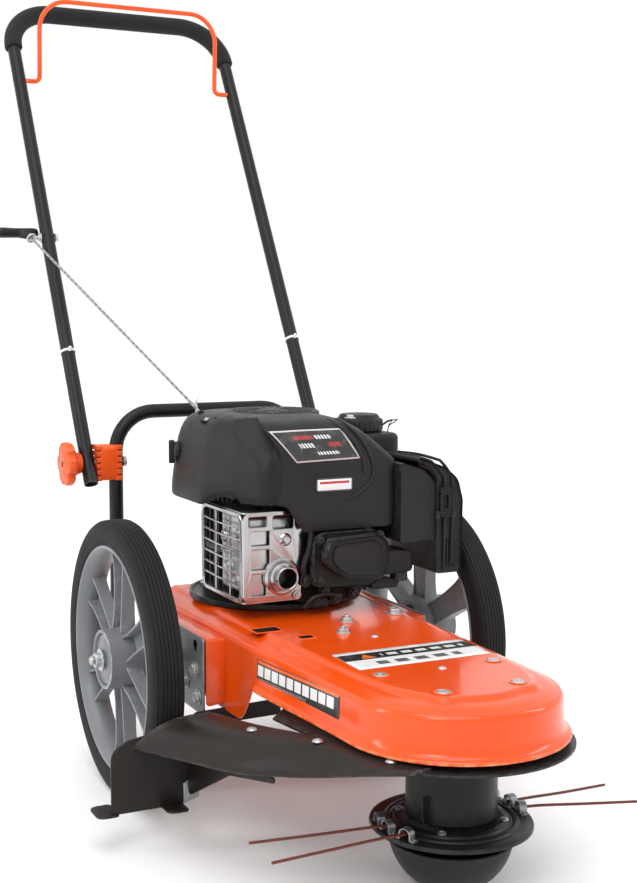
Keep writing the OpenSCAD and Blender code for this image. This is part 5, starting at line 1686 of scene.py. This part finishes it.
def make_frame():
    """Lower frame tube, bent up from the deck and over behind the engine, with its cable tie."""
    path = []
    for s in (-1, 1):
        leg = [(s * FRAME_X, 365, FRAME_LOW), (s * FRAME_X, 520, FRAME_LOW),
               (s * FRAME_X, PIVOT.y - FRAME_BEND, FRAME_LOW)]
        for k in range(1, 11):
            a = math.pi / 2 * k / 10
            leg.append((s * FRAME_X, PIVOT.y - FRAME_BEND + FRAME_BEND * math.sin(a),
                        FRAME_LOW + FRAME_BEND - FRAME_BEND * math.cos(a)))
        leg += [(s * FRAME_X, PIVOT.y, 300), (s * FRAME_X, PIVOT.y, FRAME_HIGH - FRAME_BEND)]
        for k in range(1, 11):
            a = math.pi / 2 * k / 10
            leg.append((s * (FRAME_X - FRAME_BEND + FRAME_BEND * math.cos(a)), PIVOT.y,
                        FRAME_HIGH - FRAME_BEND + FRAME_BEND * math.sin(a)))
        path.append(leg)
    points = path[0] + [(-40, PIVOT.y, FRAME_HIGH), (40, PIVOT.y, FRAME_HIGH)] + path[1][::-1]
    piece("frame_pipe", *hollow_tube(points, TUBE_R, TUBE_R - 1.5, 40), "black_paint", "chassis",
          "black_paint", ["lower_frame"], smooth=50)
    tie = [(-24, PIVOT.y + 12.0 * math.cos(a), FRAME_HIGH + 12.0 * math.sin(a)) for a in
           (math.tau * k / 40 for k in range(41))]
    parts = [tube(tie, 1.0, 8, 2.2), tube([(-24, PIVOT.y - 8, 515), (-24, PIVOT.y - 10, 521)], 2.4, 8)]
    tail = smooth_path([(-24, PIVOT.y - 9, 518), (-20, PIVOT.y - 14, 532), (-28, PIVOT.y - 14, 556)], 6)
    parts.append(tube(tail, lambda s: 1.5 * (1 - 0.7 * s), 8, 0.5))
    piece("frame_tie", *join(*parts), "white_plastic", "chassis", "white_plastic", smooth=45)


# Bail: how far up the handle it turns, its lean in degrees, half width and bend radius
BAIL_AT, BAIL_LEAN, BAIL_X, BAIL_BEND = 734, 33, 166, 50


def make_bail():
    """Bail rod along its own plane, which leans forward out of the handle's."""
    lean = math.radians(BAIL_LEAN)
    path = []
    for s in (-1, 1):
        leg = [(s * 192.5, 0), (s * 186, 0)]
        for k in range(0, 8):
            b = math.pi / 2 * k / 7
            leg.append((s * (176 - 10 * math.sin(b)), 10 - 10 * math.cos(b)))
        leg += [(s * BAIL_X, 50), (s * BAIL_X, 90)]
        for k in range(1, 13):
            b = math.pi / 2 * k / 12
            leg.append((s * (BAIL_X - BAIL_BEND + BAIL_BEND * math.cos(b)), 90 + BAIL_BEND * math.sin(b)))
        path.append(leg)
    line = path[0] + [(-40, 140), (40, 140)] + path[1][::-1]
    points = [on_handle(x, t * math.sin(lean), BAIL_AT + t * math.cos(lean)) for x, t in line]
    piece("bail_rod", *tube(points, 4.0, 24), "orange_paint", "bail", "orange_paint", ["bail"], smooth=60)


def rope_run(name, start, end, shown):
    """Straight braided run between two points. shown is the length its weave is drawn for."""
    count, sides = 240, 14
    verts, faces = tube([start + (end - start) * k / count for k in range(count + 1)], 2.0, sides)
    mesh = bpy.data.meshes.new(name)
    mesh.from_pydata([tuple(c * MM for c in v) for v in verts], [], faces)
    layer = mesh.uv_layers.new(name="UVMap")
    for face in mesh.polygons:
        face.use_smooth = True
        columns = [mesh.loops[i].vertex_index % sides for i in face.loop_indices]
        wraps = max(columns) - min(columns) > sides / 2
        for i in face.loop_indices:
            row, column = divmod(mesh.loops[i].vertex_index, sides)
            column = column + sides if wraps and column < sides / 2 else column
            layer.data[i].uv = (column / sides, row / count * shown / 100)
    mesh.materials.append(mat("rope_weave"))
    rope = bpy.data.objects.new(name, mesh)
    bpy.context.scene.collection.objects.link(rope)
    return rope


def make_starter():
    """Starter rope from the shroud to the guide eye, and its grip."""
    exit_at, eye = Vector((-96, 531, 517.5)), Vector(ROPE_EYE)
    way = (eye - exit_at).normalized()
    length = (eye - exit_at).length
    rope = rope_run("pull_rope", exit_at, exit_at + way * (length - 6), length)
    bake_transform(rope)
    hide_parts("starter_rope")
    spare = rope_run("pull_rope_end", eye - way * 4, eye + way * 11, 600)
    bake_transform(spare)

    centre = Vector((-248, 962, 791))
    profile = []
    for k in range(25):
        t = k / 24
        x = -36 + 72 * t
        edge = min(1.0, math.sqrt(max(0.0, 1 - abs(2 * t - 1) ** 8)))
        waist = 8.4 + 1.9 * (2 * abs(t - 0.5)) ** 2
        profile.append((x, waist * edge))
    rings = []
    for x, r in profile:
        r = max(r, 0.6)
        rings.append([(centre.x + x, centre.y + 1.15 * r * math.cos(a), centre.z + 0.95 * r * math.sin(a))
                      for a in (math.tau * k / 28 for k in range(28))])
    grip = loft(rings)
    neck = tube([eye + way * 3.2, eye + way * 8, centre + way * 1], lambda s: 4.6 + 3.4 * s, 20)
    piece("pull_grip", *join(grip, neck), "black_plastic", "starter_grip", "black_plastic", ["starter_grip"],
          smooth=45)
    bush = revolve([(2.4, -2), (4.6, -2), (5.0, -1), (4.7, 0.8), (3.7, 1.6), (2.4, 1.6)], (0, 0, 0), steps=40)
    turn = way.to_track_quat("Z", "Y").to_matrix()
    piece("rope_bush", *moved(bush, exit_at - way * 1.0, turn), "black_plastic", "chassis", "black_plastic",
          smooth=40)


# ---- Everything else keeps its CAD shape and gets a finish ----
FINISHES = {
    "skirt_plate": "black_paint", "hub_bushes": "rim_plastic", "clamp_bolts": "zinc",
    "valve_cover": "dark_casting", "spindle_bearings": "steel",
    "drive_belt": "belt_rubber", "crankshaft": "steel", "flywheel": "flywheel_iron",
            "drive_pulley": "flywheel_iron",
    "idler_arm": "zinc", "idler_pulley": "steel", "spindle_shaft": "steel", "driven_pulley": "flywheel_iron",
}


def finish_nodes():
    """Gives the nodes that keep their CAD shape a material."""
    for node, material in FINISHES.items():
        obj = NODES[node]
        obj.data.materials.clear()
        obj.data.materials.append(mat(material))


# ---- Assembly ----
make_camera()
make_studio()
make_starter()
make_deck()
make_fasteners()
make_deck_details()
for wheel_side in (-1, 1):
    make_wheel(wheel_side)
make_axle_ends()
make_shroud()
make_recoil()
make_muffler()
make_valve_cover()
make_engine_core()
make_engine_plate()
make_filter()
make_tank()
make_fuel_valve()
make_head()
make_deflector()
make_side_plates()
make_adjusters()
make_handle()
make_frame()
make_bail()
finish_nodes()
